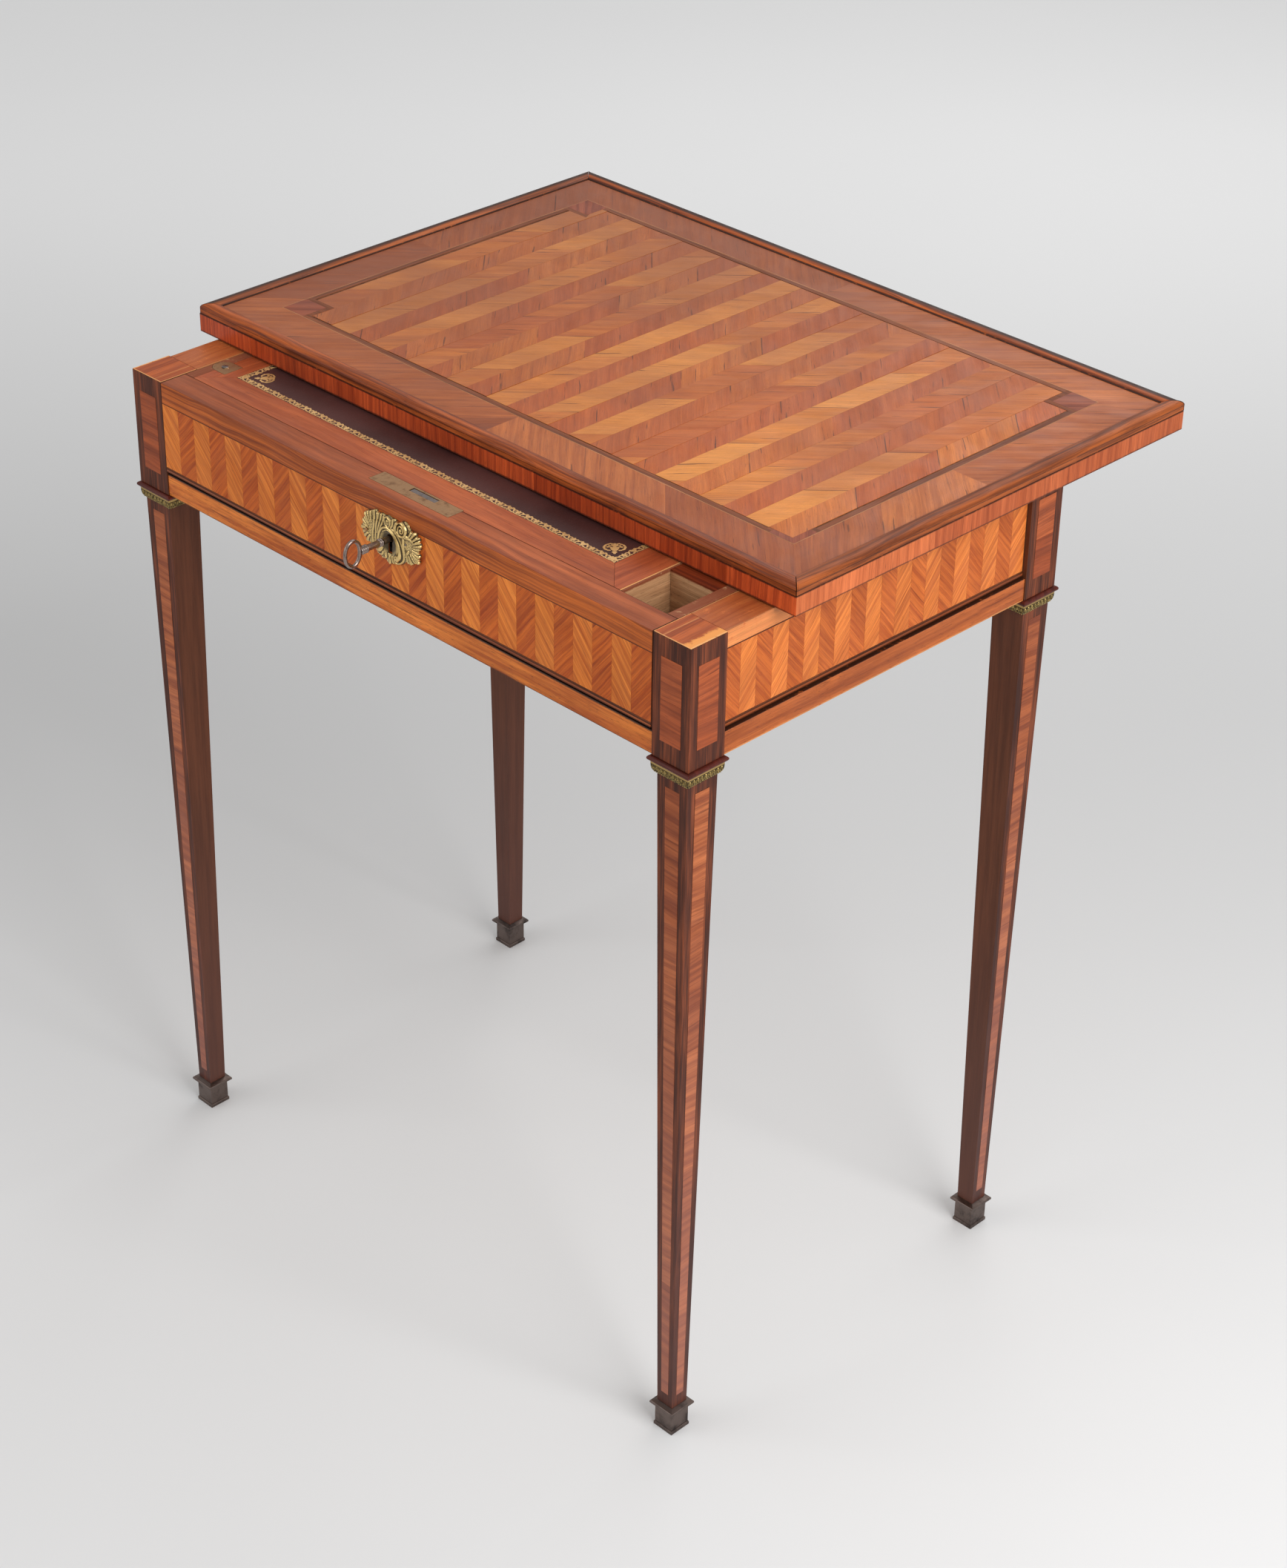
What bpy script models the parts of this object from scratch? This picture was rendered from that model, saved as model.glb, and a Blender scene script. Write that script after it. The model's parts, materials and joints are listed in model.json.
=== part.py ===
"""Small writing table with a sliding top, a fitted drawer and a turning key.

The table stands on four tapered legs. Its top slides back on two battens that run in
blind T-grooves of the side rails. The drawer hangs on a tongue at each side, and holds
a leather-lined flap, two open compartments and a half-mortise lock. Turning the key
lifts the lock's bolt into a strike plate under the closed top.

Metres, +Z up, the front towards -Y. Places in this file are given from the middle of
the case, on the floor; one empty then moves the whole table so that the origin lies
under the middle of its bounding box.
"""
import math

import bmesh
import bpy
from mathutils import Matrix, Vector

# Clearances
fit_gap = 0.0003
slide_gap = 0.0004
drawer_side_gap = 0.0007
cut_overrun = 0.002

# Case
case_width = 0.600
case_depth = 0.387
case_top = 0.7005
case_height = 0.0955
post_width = 0.035
top_band_height = 0.0136
top_rail_inset = 0.002
lower_rail_height = 0.0183
lower_rail_inset = 0.001
lower_rail_depth = 0.022
panel_recess = 0.004
panel_thickness = 0.012
panel_groove_height = 0.0022
panel_groove_depth = 0.0025
tenon_length_share = 0.26
tenon_thickness_share = 0.36
tenon_height_share = 0.60

# Legs and their mounts
leg_top_inset = 0.0029
leg_foot_width = 0.0158
leg_top_outset = 0.0004
leg_foot_outset = 0.0016
capital_height = 0.0046
capital_reach = 0.0024
collar_height = 0.0080
collar_fillet_reach = 0.0003
collar_fillet_height = 0.0018
collar_foot_draw = 0.0023
sabot_height = 0.0250
sabot_body_width = 0.0179
sabot_flange_reach = 0.0032
sabot_flange_height = 0.0052
sabot_rim_height = 0.0022
sabot_rim_fall = 0.0010
sabot_lip_reach = 0.0007
sabot_lip_height = 0.0024
sabot_wall = 0.0011
sabot_sole = 0.0018

# Sliding top
top_side_overhang = 0.0180
top_end_overhang = 0.0170
top_open_shift = 0.0975
top_more_travel = 0.0420
top_gap = 0.0012
top_edge_height = 0.0150
top_field_step = 0.0053
lip_width = 0.0125
lip_height = 0.0081
lip_shoulder_height = 0.0047
lip_inner_height = 0.0058
lip_crest_share = 0.42

# Battens under the top and their grooves
groove_cover = 0.0075
groove_end_wall = 0.0025
batten_neck_width = 0.0060
batten_head_width = 0.0116
batten_neck_drop = 0.0046
batten_head_height = 0.0040
batten_housing_depth = 0.0040

# Drawer
drawer_front_thickness = 0.0235
drawer_front_lift = 0.0024
drawer_back_gap = 0.0220
drawer_side_thickness = 0.0095
drawer_side_lift = 0.0030
drawer_back_thickness = 0.0085
drawer_back_drop = 0.0030
drawer_housing_depth = 0.0028
drawer_bottom_thickness = 0.0060
drawer_bottom_lift = 0.0060
drawer_bottom_tongue = 0.0028
tail_count = 3
tail_length = 0.0165
tail_tip_share = 0.66
tail_root_share = 0.46

# Drawer runners
runner_rise = 0.0106
runner_drop = 0.0010
tongue_height = 0.0072
tongue_reach = 0.0034
tongue_rise_share = 0.45
tongue_hold = 0.0450

# Drawer fittings
flap_thickness = 0.0090
flap_front_width = 0.0240
flap_left_width = 0.0218
flap_right_width = 0.0292
leather_thickness = 0.0012
leather_sink = 0.0002
flap_board_thickness = 0.0068
ledge_width = 0.0080
ledge_height = 0.0100
pen_box_width = 0.0430
pen_box_length = 0.0460
divider_thickness = 0.0028
partition_thickness = 0.0073
partition_drop = 0.0012
hinge_length = 0.0210
hinge_width = 0.0176
hinge_thickness = 0.0015
hinge_setback = 0.0207
hinge_screw_diameter = 0.0046
hinge_screw_rise = 0.0004

# Lock, measured from the key's axis
key_axis_share = 0.572
lock_left_reach = 0.0343
lock_right_reach = 0.0507
lock_face_depth = 0.0150
lock_plate_thickness = 0.0015
lock_room_below = 0.0084
lock_case_side_inset = 0.0030
lock_case_wall = 0.0012
lock_case_room = 0.0007
bolt_left = 0.0006
bolt_width = 0.0262
bolt_thickness = 0.0042
bolt_rise = 0.0080
bolt_rest_sink = 0.0004
bolt_tail_width = 0.0090
bolt_tail_gap = 0.0040
bolt_slot_gap = 0.0006
talon_depth = 0.0030
talon_height = 0.0040
strike_side_reach = 0.0120
strike_thickness = 0.0012
strike_depth = 0.0130
strike_headroom = 0.0010

# Key
key_turn_angle = math.pi
key_shaft_diameter = 0.0050
key_reach = 0.0445
key_bow_length = 0.0170
key_bow_height = 0.0230
key_bow_section = 0.0036
key_bit_reach = 0.0066
key_bit_length = 0.0042
key_bit_thickness = 0.0020
key_collar_reach = 0.0009
key_collar_length = 0.0016
key_collar_shares = (0.14, 0.42, 0.72)
key_tip_gap = 0.0006
keyhole_gap = 0.0004
keyhole_slot_width = 0.0028

# Escutcheon
escutcheon_width = 0.0670
escutcheon_wing_rise = 0.0170
escutcheon_wing_drop = 0.0140
escutcheon_thickness = 0.0018
escutcheon_edge = 0.0005
escutcheon_lobes = 16
escutcheon_lobe_share = 0.030
escutcheon_power = 3.4
escutcheon_drop = 0.0042
escutcheon_disc_radius = 0.0176
escutcheon_ring_radii = (0.0100, 0.0152)
escutcheon_ring_section = 0.0010
escutcheon_boss_radius = 0.0035
escutcheon_boss_height = 0.0012
escutcheon_boss_spread = 0.0125
escutcheon_boss_rise = 0.0118
escutcheon_points = 96

# Fineness of round work
turned_steps = 20
arc_steps = 5

# Levels and faces worked out from the sizes
half_width = case_width / 2
half_depth = case_depth / 2
post_bottom = case_top - case_height
inner_x = half_width - post_width
inner_y = half_depth - post_width
lower_rail_top = post_bottom + lower_rail_height
top_rail_bottom = case_top - top_band_height
post_centre_x = half_width - post_width / 2
post_centre_y = half_depth - post_width / 2
tenon_length = post_width * tenon_length_share
leg_top_width = post_width - 2 * leg_top_inset
leg_peg_width = sabot_body_width - 2 * sabot_wall - 2 * fit_gap

top_bottom = case_top + top_gap
top_half_width = half_width + top_side_overhang
top_half_depth = half_depth + top_end_overhang
top_centre_y = top_open_shift
top_front = top_centre_y - top_half_depth
top_back = top_centre_y + top_half_depth
lip_bottom = top_bottom + top_edge_height

groove_front = top_front + groove_cover
groove_back = inner_y - groove_end_wall
batten_front = groove_front + top_open_shift + fit_gap
batten_back = groove_back - top_more_travel - fit_gap
batten_x = (inner_x + half_width - top_rail_inset) / 2

drawer_half_width = inner_x - drawer_side_gap
drawer_front_back = -half_depth + drawer_front_thickness
drawer_front_bottom = lower_rail_top + drawer_front_lift
drawer_side_bottom = drawer_front_bottom + drawer_side_lift
drawer_side_inner = drawer_half_width - drawer_side_thickness
drawer_back_face = inner_y - drawer_back_gap
drawer_back_front = drawer_back_face - drawer_back_thickness
drawer_floor_bottom = drawer_side_bottom + drawer_bottom_lift
drawer_floor = drawer_floor_bottom + drawer_bottom_thickness
drawer_floor_front = drawer_front_back - drawer_bottom_tongue
drawer_travel = drawer_back_face + inner_y - tongue_hold

pen_box_right = drawer_side_inner
pen_box_left = pen_box_right - pen_box_width
divider_left = pen_box_left - divider_thickness
flap_left = -drawer_side_inner + fit_gap
flap_right = divider_left - fit_gap
flap_front = drawer_front_back + fit_gap
flap_back = drawer_back_front - fit_gap
flap_bottom = case_top - flap_thickness
leather_left = flap_left + flap_left_width
leather_right = flap_right - flap_right_width
leather_front = flap_front + flap_front_width
leather_back = flap_back - flap_front_width

key_axis_height = drawer_front_bottom + (case_top - drawer_front_bottom) * key_axis_share
lock_face_front = drawer_front_back + lock_plate_thickness - lock_face_depth
lock_back_face = drawer_front_back + lock_plate_thickness
lock_back_bottom = key_axis_height - key_bit_reach - lock_case_wall - lock_room_below
lock_case_back = drawer_front_back - fit_gap
bolt_back = lock_case_back - slide_gap
bolt_front = bolt_back - bolt_thickness
bolt_bottom = key_axis_height + key_bit_reach + slide_gap
bolt_tail_bottom = lock_back_bottom + lock_case_wall + bolt_tail_gap
bolt_top = case_top - bolt_rest_sink
bolt_right = bolt_left + bolt_width
key_tip = bolt_back + key_tip_gap
key_bit_back = bolt_front - 2 * slide_gap
lock_case_front = key_bit_back - key_bit_length - lock_case_room - lock_case_wall
key_ratio = key_turn_angle / bolt_rise

escutcheon_front = -half_depth - fit_gap - escutcheon_thickness - escutcheon_ring_section
front_reach = half_depth + key_reach
table_shift = (front_reach - top_back) / 2

sides = ((-1, "left"), (1, "right"))
ends = ((-1, "front"), (1, "back"))

for thing in list(bpy.data.objects):
    bpy.data.objects.remove(thing, do_unlink=True)

table_group = bpy.data.collections.new("writing_table")
cutter_group = bpy.data.collections.new("cutters")
for group in (table_group, cutter_group):
    bpy.context.scene.collection.children.link(group)


def make_finish(name, colour, roughness, metallic=0.0):
    """A plain Principled material in one colour."""
    material = bpy.data.materials.new(name)
    material.use_nodes = True
    shader = material.node_tree.nodes["Principled BSDF"]
    shader.inputs["Base Color"].default_value = (*colour, 1.0)
    shader.inputs["Roughness"].default_value = roughness
    shader.inputs["Metallic"].default_value = metallic
    return material


tulipwood = make_finish("tulipwood", (0.47, 0.19, 0.07), 0.35)
rosewood = make_finish("rosewood", (0.10, 0.035, 0.02), 0.35)
rail_wood = make_finish("rail_wood", (0.36, 0.13, 0.05), 0.38)
inner_wood = make_finish("inner_wood", (0.40, 0.24, 0.11), 0.6)
bronze = make_finish("bronze", (0.30, 0.24, 0.11), 0.42, 0.9)
dark_bronze = make_finish("dark_bronze", (0.09, 0.08, 0.06), 0.5, 0.8)
brass = make_finish("brass", (0.42, 0.30, 0.13), 0.4, 0.9)
steel = make_finish("steel", (0.26, 0.23, 0.21), 0.4, 0.9)
leather = make_finish("leather", (0.075, 0.025, 0.025), 0.55)


def make_body(name, place, parent=None):
    """An empty that carries the pieces that move together, set on their joint's axis."""
    empty = bpy.data.objects.new(name, None)
    table_group.objects.link(empty)
    empty.location = Vector(place)
    if parent is not None:
        empty.parent = parent
        empty.location = Vector(place) - Vector(parent["table_place"])
    empty["table_place"] = Vector(place)
    return empty


table_body = make_body("writing_table_origin", (0, 0, 0))
table_body.location.y = table_shift
drawer_body = make_body("drawer_slide", (0, -half_depth, case_top), table_body)
top_body = make_body("top_slide", (0, top_centre_y, top_bottom), table_body)
key_body = make_body("key_turn", (0, -half_depth, key_axis_height), drawer_body)
bolt_body = make_body("bolt_slide", (bolt_left + bolt_width / 2, bolt_back, case_top), drawer_body)


def place_piece(name, mesh, place, body, finish, turn=(0, 0, 0)):
    """Link a mesh as a piece of the table, or as a cutter where it has no finish."""
    piece = bpy.data.objects.new(name, mesh)
    (table_group if finish else cutter_group).objects.link(piece)
    piece.parent = body
    piece.location = Vector(place) - Vector(body["table_place"])
    piece.rotation_euler = turn
    if finish:
        mesh.materials.append(finish)
    else:
        piece.hide_render = True
        piece.display_type = "WIRE"
    return piece


def box_mesh(name, boxes, centre):
    """A mesh of one or more boxes, each a lowest and a highest corner."""
    shape = bmesh.new()
    for low, high in boxes:
        size = Vector(high) - Vector(low)
        middle = (Vector(high) + Vector(low)) / 2 - centre
        matrix = Matrix.Translation(middle) @ Matrix.Diagonal((*size, 1.0))
        bmesh.ops.create_cube(shape, size=1.0, matrix=matrix)
    mesh = bpy.data.meshes.new(name)
    shape.to_mesh(mesh)
    shape.free()
    return mesh


def block(name, low, high, body, finish, edge=0):
    """A squared piece between two corners, with its edges eased where it has an edge size."""
    centre = (Vector(low) + Vector(high)) / 2
    piece = place_piece(name, box_mesh(name, [(low, high)], centre), centre, body, finish)
    if edge:
        ease_edges(piece, edge)
    return piece


def box_tool(name, boxes, body):
    """A cutter, or a shape to be joined on, made of boxes."""
    centre = (Vector(boxes[0][0]) + Vector(boxes[0][1])) / 2
    return place_piece(name, box_mesh(name, boxes, centre), centre, body, None)


def ease_edges(piece, width):
    bevel = piece.modifiers.new("eased edges", "BEVEL")
    bevel.width = width
    bevel.segments = 1
    bevel.limit_method = "ANGLE"


def cut(piece, tool):
    change = piece.modifiers.new("cut " + tool.name, "BOOLEAN")
    change.operation = "DIFFERENCE"
    change.solver = "EXACT"
    change.object = tool
    return piece


def join(piece, tool):
    change = piece.modifiers.new("join " + tool.name, "BOOLEAN")
    change.operation = "UNION"
    change.solver = "EXACT"
    change.object = tool
    return piece


axis_turns = {
    "X": (math.pi / 2, 0, math.pi / 2),
    "Y": (math.pi / 2, 0, 0),
    "Z": (0, 0, 0),
}


def prism(name, outline, start, end, axis, body, finish=None):
    """Extrude a flat outline along an axis.

    The outline's points are (x, y) along Z, (x, z) along Y and (y, z) along X.
    """
    middle = Vector((0, 0))
    for point in outline:
        middle += Vector(point) / len(outline)
    curve = bpy.data.curves.new(name, "CURVE")
    curve.dimensions = "2D"
    curve.fill_mode = "BOTH"
    curve.extrude = (end - start) / 2
    spline = curve.splines.new("POLY")
    spline.points.add(len(outline) - 1)
    for spot, point in zip(spline.points, outline):
        spot.co = (point[0] - middle[0], point[1] - middle[1], 0, 1)
    spline.use_cyclic_u = True
    mesh = curve_to_mesh(name, curve)
    level = (start + end) / 2
    places = {
        "X": (level, middle[0], middle[1]),
        "Y": (middle[0], level, middle[1]),
        "Z": (middle[0], middle[1], level),
    }
    return place_piece(name, mesh, places[axis], body, finish, axis_turns[axis])


def curve_to_mesh(name, curve):
    """Turn a curve into a mesh whose caps are welded to its walls."""
    holder = bpy.data.objects.new(name + "_curve", curve)
    cutter_group.objects.link(holder)
    bpy.context.view_layer.update()
    depsgraph = bpy.context.evaluated_depsgraph_get()
    mesh = bpy.data.meshes.new_from_object(holder.evaluated_get(depsgraph))
    bpy.data.objects.remove(holder, do_unlink=True)
    shape = bmesh.new()
    shape.from_mesh(mesh)
    bmesh.ops.remove_doubles(shape, verts=shape.verts, dist=fit_gap / 100)
    bmesh.ops.recalc_face_normals(shape, faces=shape.faces)
    shape.to_mesh(mesh)
    shape.free()
    mesh.name = name
    return mesh


def turned(name, profile, place, body, finish, steps, turn, closed):
    """Turn a profile of (radius, height) points round local Z with a Screw modifier."""
    mesh = bpy.data.meshes.new(name)
    count = len(profile)
    edges = [(index, index + 1) for index in range(count - 1)]
    if closed:
        edges.append((count - 1, 0))
    mesh.from_pydata([(radius, 0, height) for radius, height in profile], edges, [])
    piece = place_piece(name, mesh, place, body, finish, turn)
    screw = piece.modifiers.new("turned", "SCREW")
    screw.steps = steps
    screw.render_steps = steps
    screw.use_merge_vertices = True
    screw.merge_threshold = fit_gap / 100
    return piece


def square_turned(name, profile, place, body, finish):
    """A four-sided form: a profile of (half width, height) points turned in four steps."""
    corners = [(half * math.sqrt(2), height) for half, height in profile]
    return turned(name, corners, place, body, finish, 4, (0, 0, math.pi / 4), False)


def arc_points(centre, radii, start, end, steps):
    """Points of an elliptic arc, from one angle to another."""
    points = []
    for step in range(steps + 1):
        angle = start + (end - start) * step / steps
        points.append((centre[0] + radii[0] * math.cos(angle), centre[1] + radii[1] * math.sin(angle)))
    return points


# Rails and panels, each with a tenon at both ends. Every tenon is noted with the post
# that takes it, so that the post's mortises come from the same corners.
mortises = {}


def note_mortise(post, low, high):
    gap = Vector((fit_gap, fit_gap, fit_gap))
    mortises.setdefault(post, []).append((Vector(low) - gap, Vector(high) + gap))


def tenoned(name, low, high, along, posts, finish, edge=0):
    """A board between two posts along X or Y, with a shouldered tenon at each end."""
    run = "XY".index(along)
    across = 1 - run
    board = block(name, low, high, table_body, finish, edge)
    middle = (Vector(low) + Vector(high)) / 2
    thickness = (high[across] - low[across]) * tenon_thickness_share
    height = (high[2] - low[2]) * tenon_height_share
    boxes = []
    for face, post, outward in ((low[run], posts[0], -1), (high[run], posts[1], 1)):
        near = face - outward * cut_overrun
        far = face + outward * tenon_length
        tenon_low = [0, 0, middle.z - height / 2]
        tenon_high = [0, 0, middle.z + height / 2]
        tenon_low[across] = middle[across] - thickness / 2
        tenon_high[across] = middle[across] + thickness / 2
        tenon_low[run] = min(near, far)
        tenon_high[run] = max(near, far)
        boxes.append((tenon_low, tenon_high))
        note_mortise(post, tenon_low, tenon_high)
    return join(board, box_tool(name + "_tenons", boxes, table_body))


def make_side(sign, side):
    """Top rail, veneered panel and lower rail of one side, with the drawer's runner."""
    posts = ("leg_front_" + side, "leg_back_" + side)
    front = -inner_y + fit_gap
    back = inner_y - fit_gap

    def span(outer_inset, depth):
        outer = half_width - outer_inset
        return sorted((sign * outer, sign * (outer - depth)))

    left, right = span(top_rail_inset, post_width - top_rail_inset)
    rail = tenoned("side_top_rail_" + side, (left, front, top_rail_bottom), (right, back, case_top),
                   "Y", posts, rail_wood)
    cut(rail, t_groove("top_groove_" + side, sign * batten_x))

    left, right = span(panel_recess, panel_thickness)
    panel = tenoned("side_panel_" + side, (left, front, lower_rail_top + fit_gap),
                    (right, back, top_rail_bottom - fit_gap), "Y", posts, tulipwood)
    outer = sign * (half_width - panel_recess)
    reach = sorted((outer - sign * panel_groove_depth, outer + sign * cut_overrun))
    cut(panel, box_tool("side_panel_groove_" + side, [(
        (reach[0], front - cut_overrun, lower_rail_top - cut_overrun),
        (reach[1], back + cut_overrun, lower_rail_top + panel_groove_height))], table_body))

    left, right = span(lower_rail_inset, lower_rail_depth)
    tenoned("side_lower_rail_" + side, (left, front, post_bottom), (right, back, lower_rail_top),
            "Y", posts, rail_wood)
    make_runner(sign, side, front, back)


def t_groove(name, middle):
    """The blind T-groove that a batten of the top slides in, open towards the top."""
    neck = batten_neck_width / 2 + slide_gap
    head = batten_head_width / 2 + slide_gap
    neck_bottom = case_top - batten_neck_drop + slide_gap
    head_bottom = case_top - batten_neck_drop - batten_head_height - slide_gap
    above = case_top + cut_overrun
    outline = [
        (middle - neck, above), (middle - neck, neck_bottom), (middle - head, neck_bottom),
        (middle - head, head_bottom), (middle + head, head_bottom), (middle + head, neck_bottom),
        (middle + neck, neck_bottom), (middle + neck, above),
    ]
    return prism(name, outline, groove_front, groove_back, "Y", table_body)


def tongue_levels():
    """Lowest and highest level of the tongue that the drawer hangs on."""
    side_height = case_top - drawer_side_bottom
    middle = drawer_side_bottom + side_height * tongue_rise_share
    return middle - tongue_height / 2, middle + tongue_height / 2


def make_runner(sign, side, front, back):
    """A board inside the case with a tongue that fits the groove of the drawer's side."""
    outer = half_width - panel_recess - panel_thickness - fit_gap
    inner = inner_x + fit_gap
    top = top_rail_bottom - runner_drop
    bottom = lower_rail_top + runner_rise
    low, high = tongue_levels()
    tip = drawer_half_width - tongue_reach
    outline = [
        (sign * outer, bottom), (sign * inner, bottom), (sign * inner, low), (sign * tip, low),
        (sign * tip, high), (sign * inner, high), (sign * inner, top), (sign * outer, top),
    ]
    prism("drawer_runner_" + side, outline, front, back, "Y", table_body, inner_wood)


def make_ends():
    """Back rails and panel, and the one rail that the front has below its drawer."""
    left = -inner_x + fit_gap
    right = inner_x - fit_gap
    posts = ("leg_back_left", "leg_back_right")
    outer = half_depth - top_rail_inset
    tenoned("back_top_rail", (left, outer - post_width + top_rail_inset, top_rail_bottom),
            (right, outer, case_top), "X", posts, rail_wood)
    outer = half_depth - panel_recess
    panel = tenoned("back_panel", (left, outer - panel_thickness, lower_rail_top + fit_gap),
                    (right, outer, top_rail_bottom - fit_gap), "X", posts, tulipwood)
    cut(panel, box_tool("back_panel_groove", [(
        (left - cut_overrun, outer - panel_groove_depth, lower_rail_top - cut_overrun),
        (right + cut_overrun, outer + cut_overrun, lower_rail_top + panel_groove_height))], table_body))
    outer = half_depth - lower_rail_inset
    tenoned("back_lower_rail", (left, outer - lower_rail_depth, post_bottom),
            (right, outer, lower_rail_top), "X", posts, rail_wood)
    tenoned("front_rail", (left, -outer, post_bottom), (right, -outer + lower_rail_depth, lower_rail_top),
            "X", ("leg_front_left", "leg_front_right"), rail_wood)


def make_leg(sx, side, sy, end):
    """Post and tapered leg in one piece, with its mortises and a peg for the sabot."""
    name = "leg_" + end + "_" + side
    centre = Vector((sx * post_centre_x, sy * post_centre_y, 0))
    half = Vector((post_width / 2, post_width / 2, 0))
    low = centre - half + Vector((0, 0, post_bottom))
    high = centre + half + Vector((0, 0, case_top))
    leg = block(name, low, high, table_body, rosewood, fit_gap)
    outward = Vector((sx, sy, 0))
    neck = centre + outward * leg_top_outset
    foot = centre + outward * leg_foot_outset
    top = neck + Vector((0, 0, post_bottom))
    shaft = square_turned(name + "_taper", [
        (0, cut_overrun),
        (leg_top_width / 2, cut_overrun),
        (leg_top_width / 2, 0),
        (leg_foot_width / 2, sabot_height + fit_gap - post_bottom),
        (leg_peg_width / 2, sabot_height + fit_gap - post_bottom),
        (leg_peg_width / 2, sabot_sole + fit_gap - post_bottom),
        (0, sabot_sole + fit_gap - post_bottom),
    ], top, table_body, None)
    lean = math.asin((leg_foot_outset - leg_top_outset) / post_bottom)
    shaft.rotation_mode = "ZYX"
    shaft.rotation_euler = (sy * lean, -sx * lean, math.pi / 4)
    join(leg, shaft)
    cut(leg, box_tool(name + "_mortises", mortises[name], table_body))
    neck_half = Vector((leg_top_width / 2 + fit_gap, leg_top_width / 2 + fit_gap, 0))
    hole_bottom = post_bottom - capital_height - collar_height - cut_overrun
    hole = box_tool(name + "_neck_hole", [(
        neck - neck_half + Vector((0, 0, hole_bottom)),
        neck + neck_half + Vector((0, 0, post_bottom + cut_overrun)))], table_body)
    make_capital(end + "_" + side, centre, hole)
    make_collar(end + "_" + side, centre, hole)
    make_sabot(end + "_" + side, foot)


def make_capital(corner, centre, hole):
    """Wooden half-round moulding under the post, mitred round the leg."""
    half = post_width / 2
    top = post_bottom - fit_gap
    bottom = post_bottom - capital_height
    profile = [(0, top)]
    profile += arc_points((half, (top + bottom) / 2), (capital_reach, (top - bottom) / 2),
                          math.pi / 2, -math.pi / 2, 2 * arc_steps)
    profile.append((0, bottom))
    cut(square_turned("capital_" + corner, profile, centre, table_body, rosewood), hole)


def make_collar(corner, centre, hole):
    """Bronze band round the leg's neck, a fillet over a quarter round."""
    half = post_width / 2 + collar_fillet_reach
    top = post_bottom - capital_height - fit_gap
    bottom = top - collar_height
    fillet = top - collar_fillet_height
    profile = [(0, top), (half, top), (half, fillet)]
    profile += arc_points((half - collar_foot_draw, fillet), (collar_foot_draw, fillet - bottom),
                          0, -math.pi / 2, arc_steps)[1:]
    profile.append((0, bottom))
    cut(square_turned("collar_" + corner, profile, centre, table_body, bronze), hole)


def make_sabot(corner, foot):
    """Cast shoe with a sole, a rounded flange over a hollow, and a lip at the floor."""
    body = sabot_body_width / 2
    hole = leg_peg_width / 2 + fit_gap
    flange = body + sabot_flange_reach
    rim = sabot_height - sabot_rim_fall
    flare = sabot_height - sabot_flange_height
    lip = body + sabot_lip_reach
    outside = arc_points((flange - sabot_rim_fall, rim - sabot_rim_fall),
                         (sabot_rim_fall, sabot_rim_fall), math.pi / 2, 0, arc_steps)
    outside += arc_points((flange, flare), (sabot_flange_reach, rim - sabot_rim_height - flare),
                          math.pi / 2, math.pi, arc_steps)
    outside += arc_points((body, sabot_lip_height), (sabot_lip_reach, sabot_lip_reach),
                          math.pi / 2, 0, arc_steps)
    outside += [(lip, 0), (0, 0)]
    inside = [(0, sabot_sole), (hole, sabot_sole), (hole, sabot_height)]
    square_turned("sabot_" + corner, inside + outside, foot, table_body, dark_bronze)


def lip_profile():
    """Section of the raised lip: (distance in from the edge, height over its seat)."""
    crest = lip_width * lip_crest_share
    points = [(0, 0), (0, lip_shoulder_height)]
    points += arc_points((crest, lip_shoulder_height), (crest, lip_height - lip_shoulder_height),
                         math.pi, math.pi / 2, arc_steps)[1:]
    fall = lip_height - lip_inner_height
    points += arc_points((crest, lip_inner_height), (lip_width - crest, fall),
                         math.pi / 2, 0, arc_steps)[1:]
    points.append((lip_width, 0))
    return points


def mitred_lip(name, half_length, edge_place, turn):
    """One length of the lip, mitred at both ends; local +Y points in over the top."""
    profile = lip_profile()
    shape = bmesh.new()
    starts = [shape.verts.new((-half_length + inset, inset, height)) for inset, height in profile]
    shape.faces.new(starts)
    finish_end = bmesh.ops.extrude_face_region(shape, geom=shape.faces[:])
    for corner in finish_end["geom"]:
        if isinstance(corner, bmesh.types.BMVert):
            corner.co.x = -corner.co.x
    bmesh.ops.recalc_face_normals(shape, faces=shape.faces)
    mesh = bpy.data.meshes.new(name)
    shape.to_mesh(mesh)
    shape.free()
    return place_piece(name, mesh, edge_place, top_body, rosewood, (0, 0, turn))


def make_top():
    """Board with its edge band, four lip mouldings, two battens and the strike plate."""
    middle = Vector((0, top_centre_y, 0))
    slab = Vector((top_half_width, top_half_depth, 0))
    lip_room = Vector((lip_width + fit_gap, lip_width + fit_gap, 0))
    board = block("top_board", middle - slab + Vector((0, 0, top_bottom)),
                  middle + slab + Vector((0, 0, lip_bottom - fit_gap)), top_body, tulipwood, fit_gap)
    field = slab - lip_room
    join(board, box_tool("top_field", [(
        middle - field + Vector((0, 0, lip_bottom - cut_overrun)),
        middle + field + Vector((0, 0, lip_bottom + top_field_step)))], top_body))
    cut(board, strike_cutter(board))
    for sign, side in sides:
        mitred_lip("lip_" + side, top_half_depth - fit_gap,
                   (sign * top_half_width, top_centre_y, lip_bottom), sign * math.pi / 2)
        make_batten(sign, side, board)
    for sign, end in ends:
        mitred_lip("lip_" + end, top_half_width - 2 * fit_gap,
                   (0, top_centre_y + sign * top_half_depth, lip_bottom), (1 + sign) * math.pi / 2)


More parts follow.
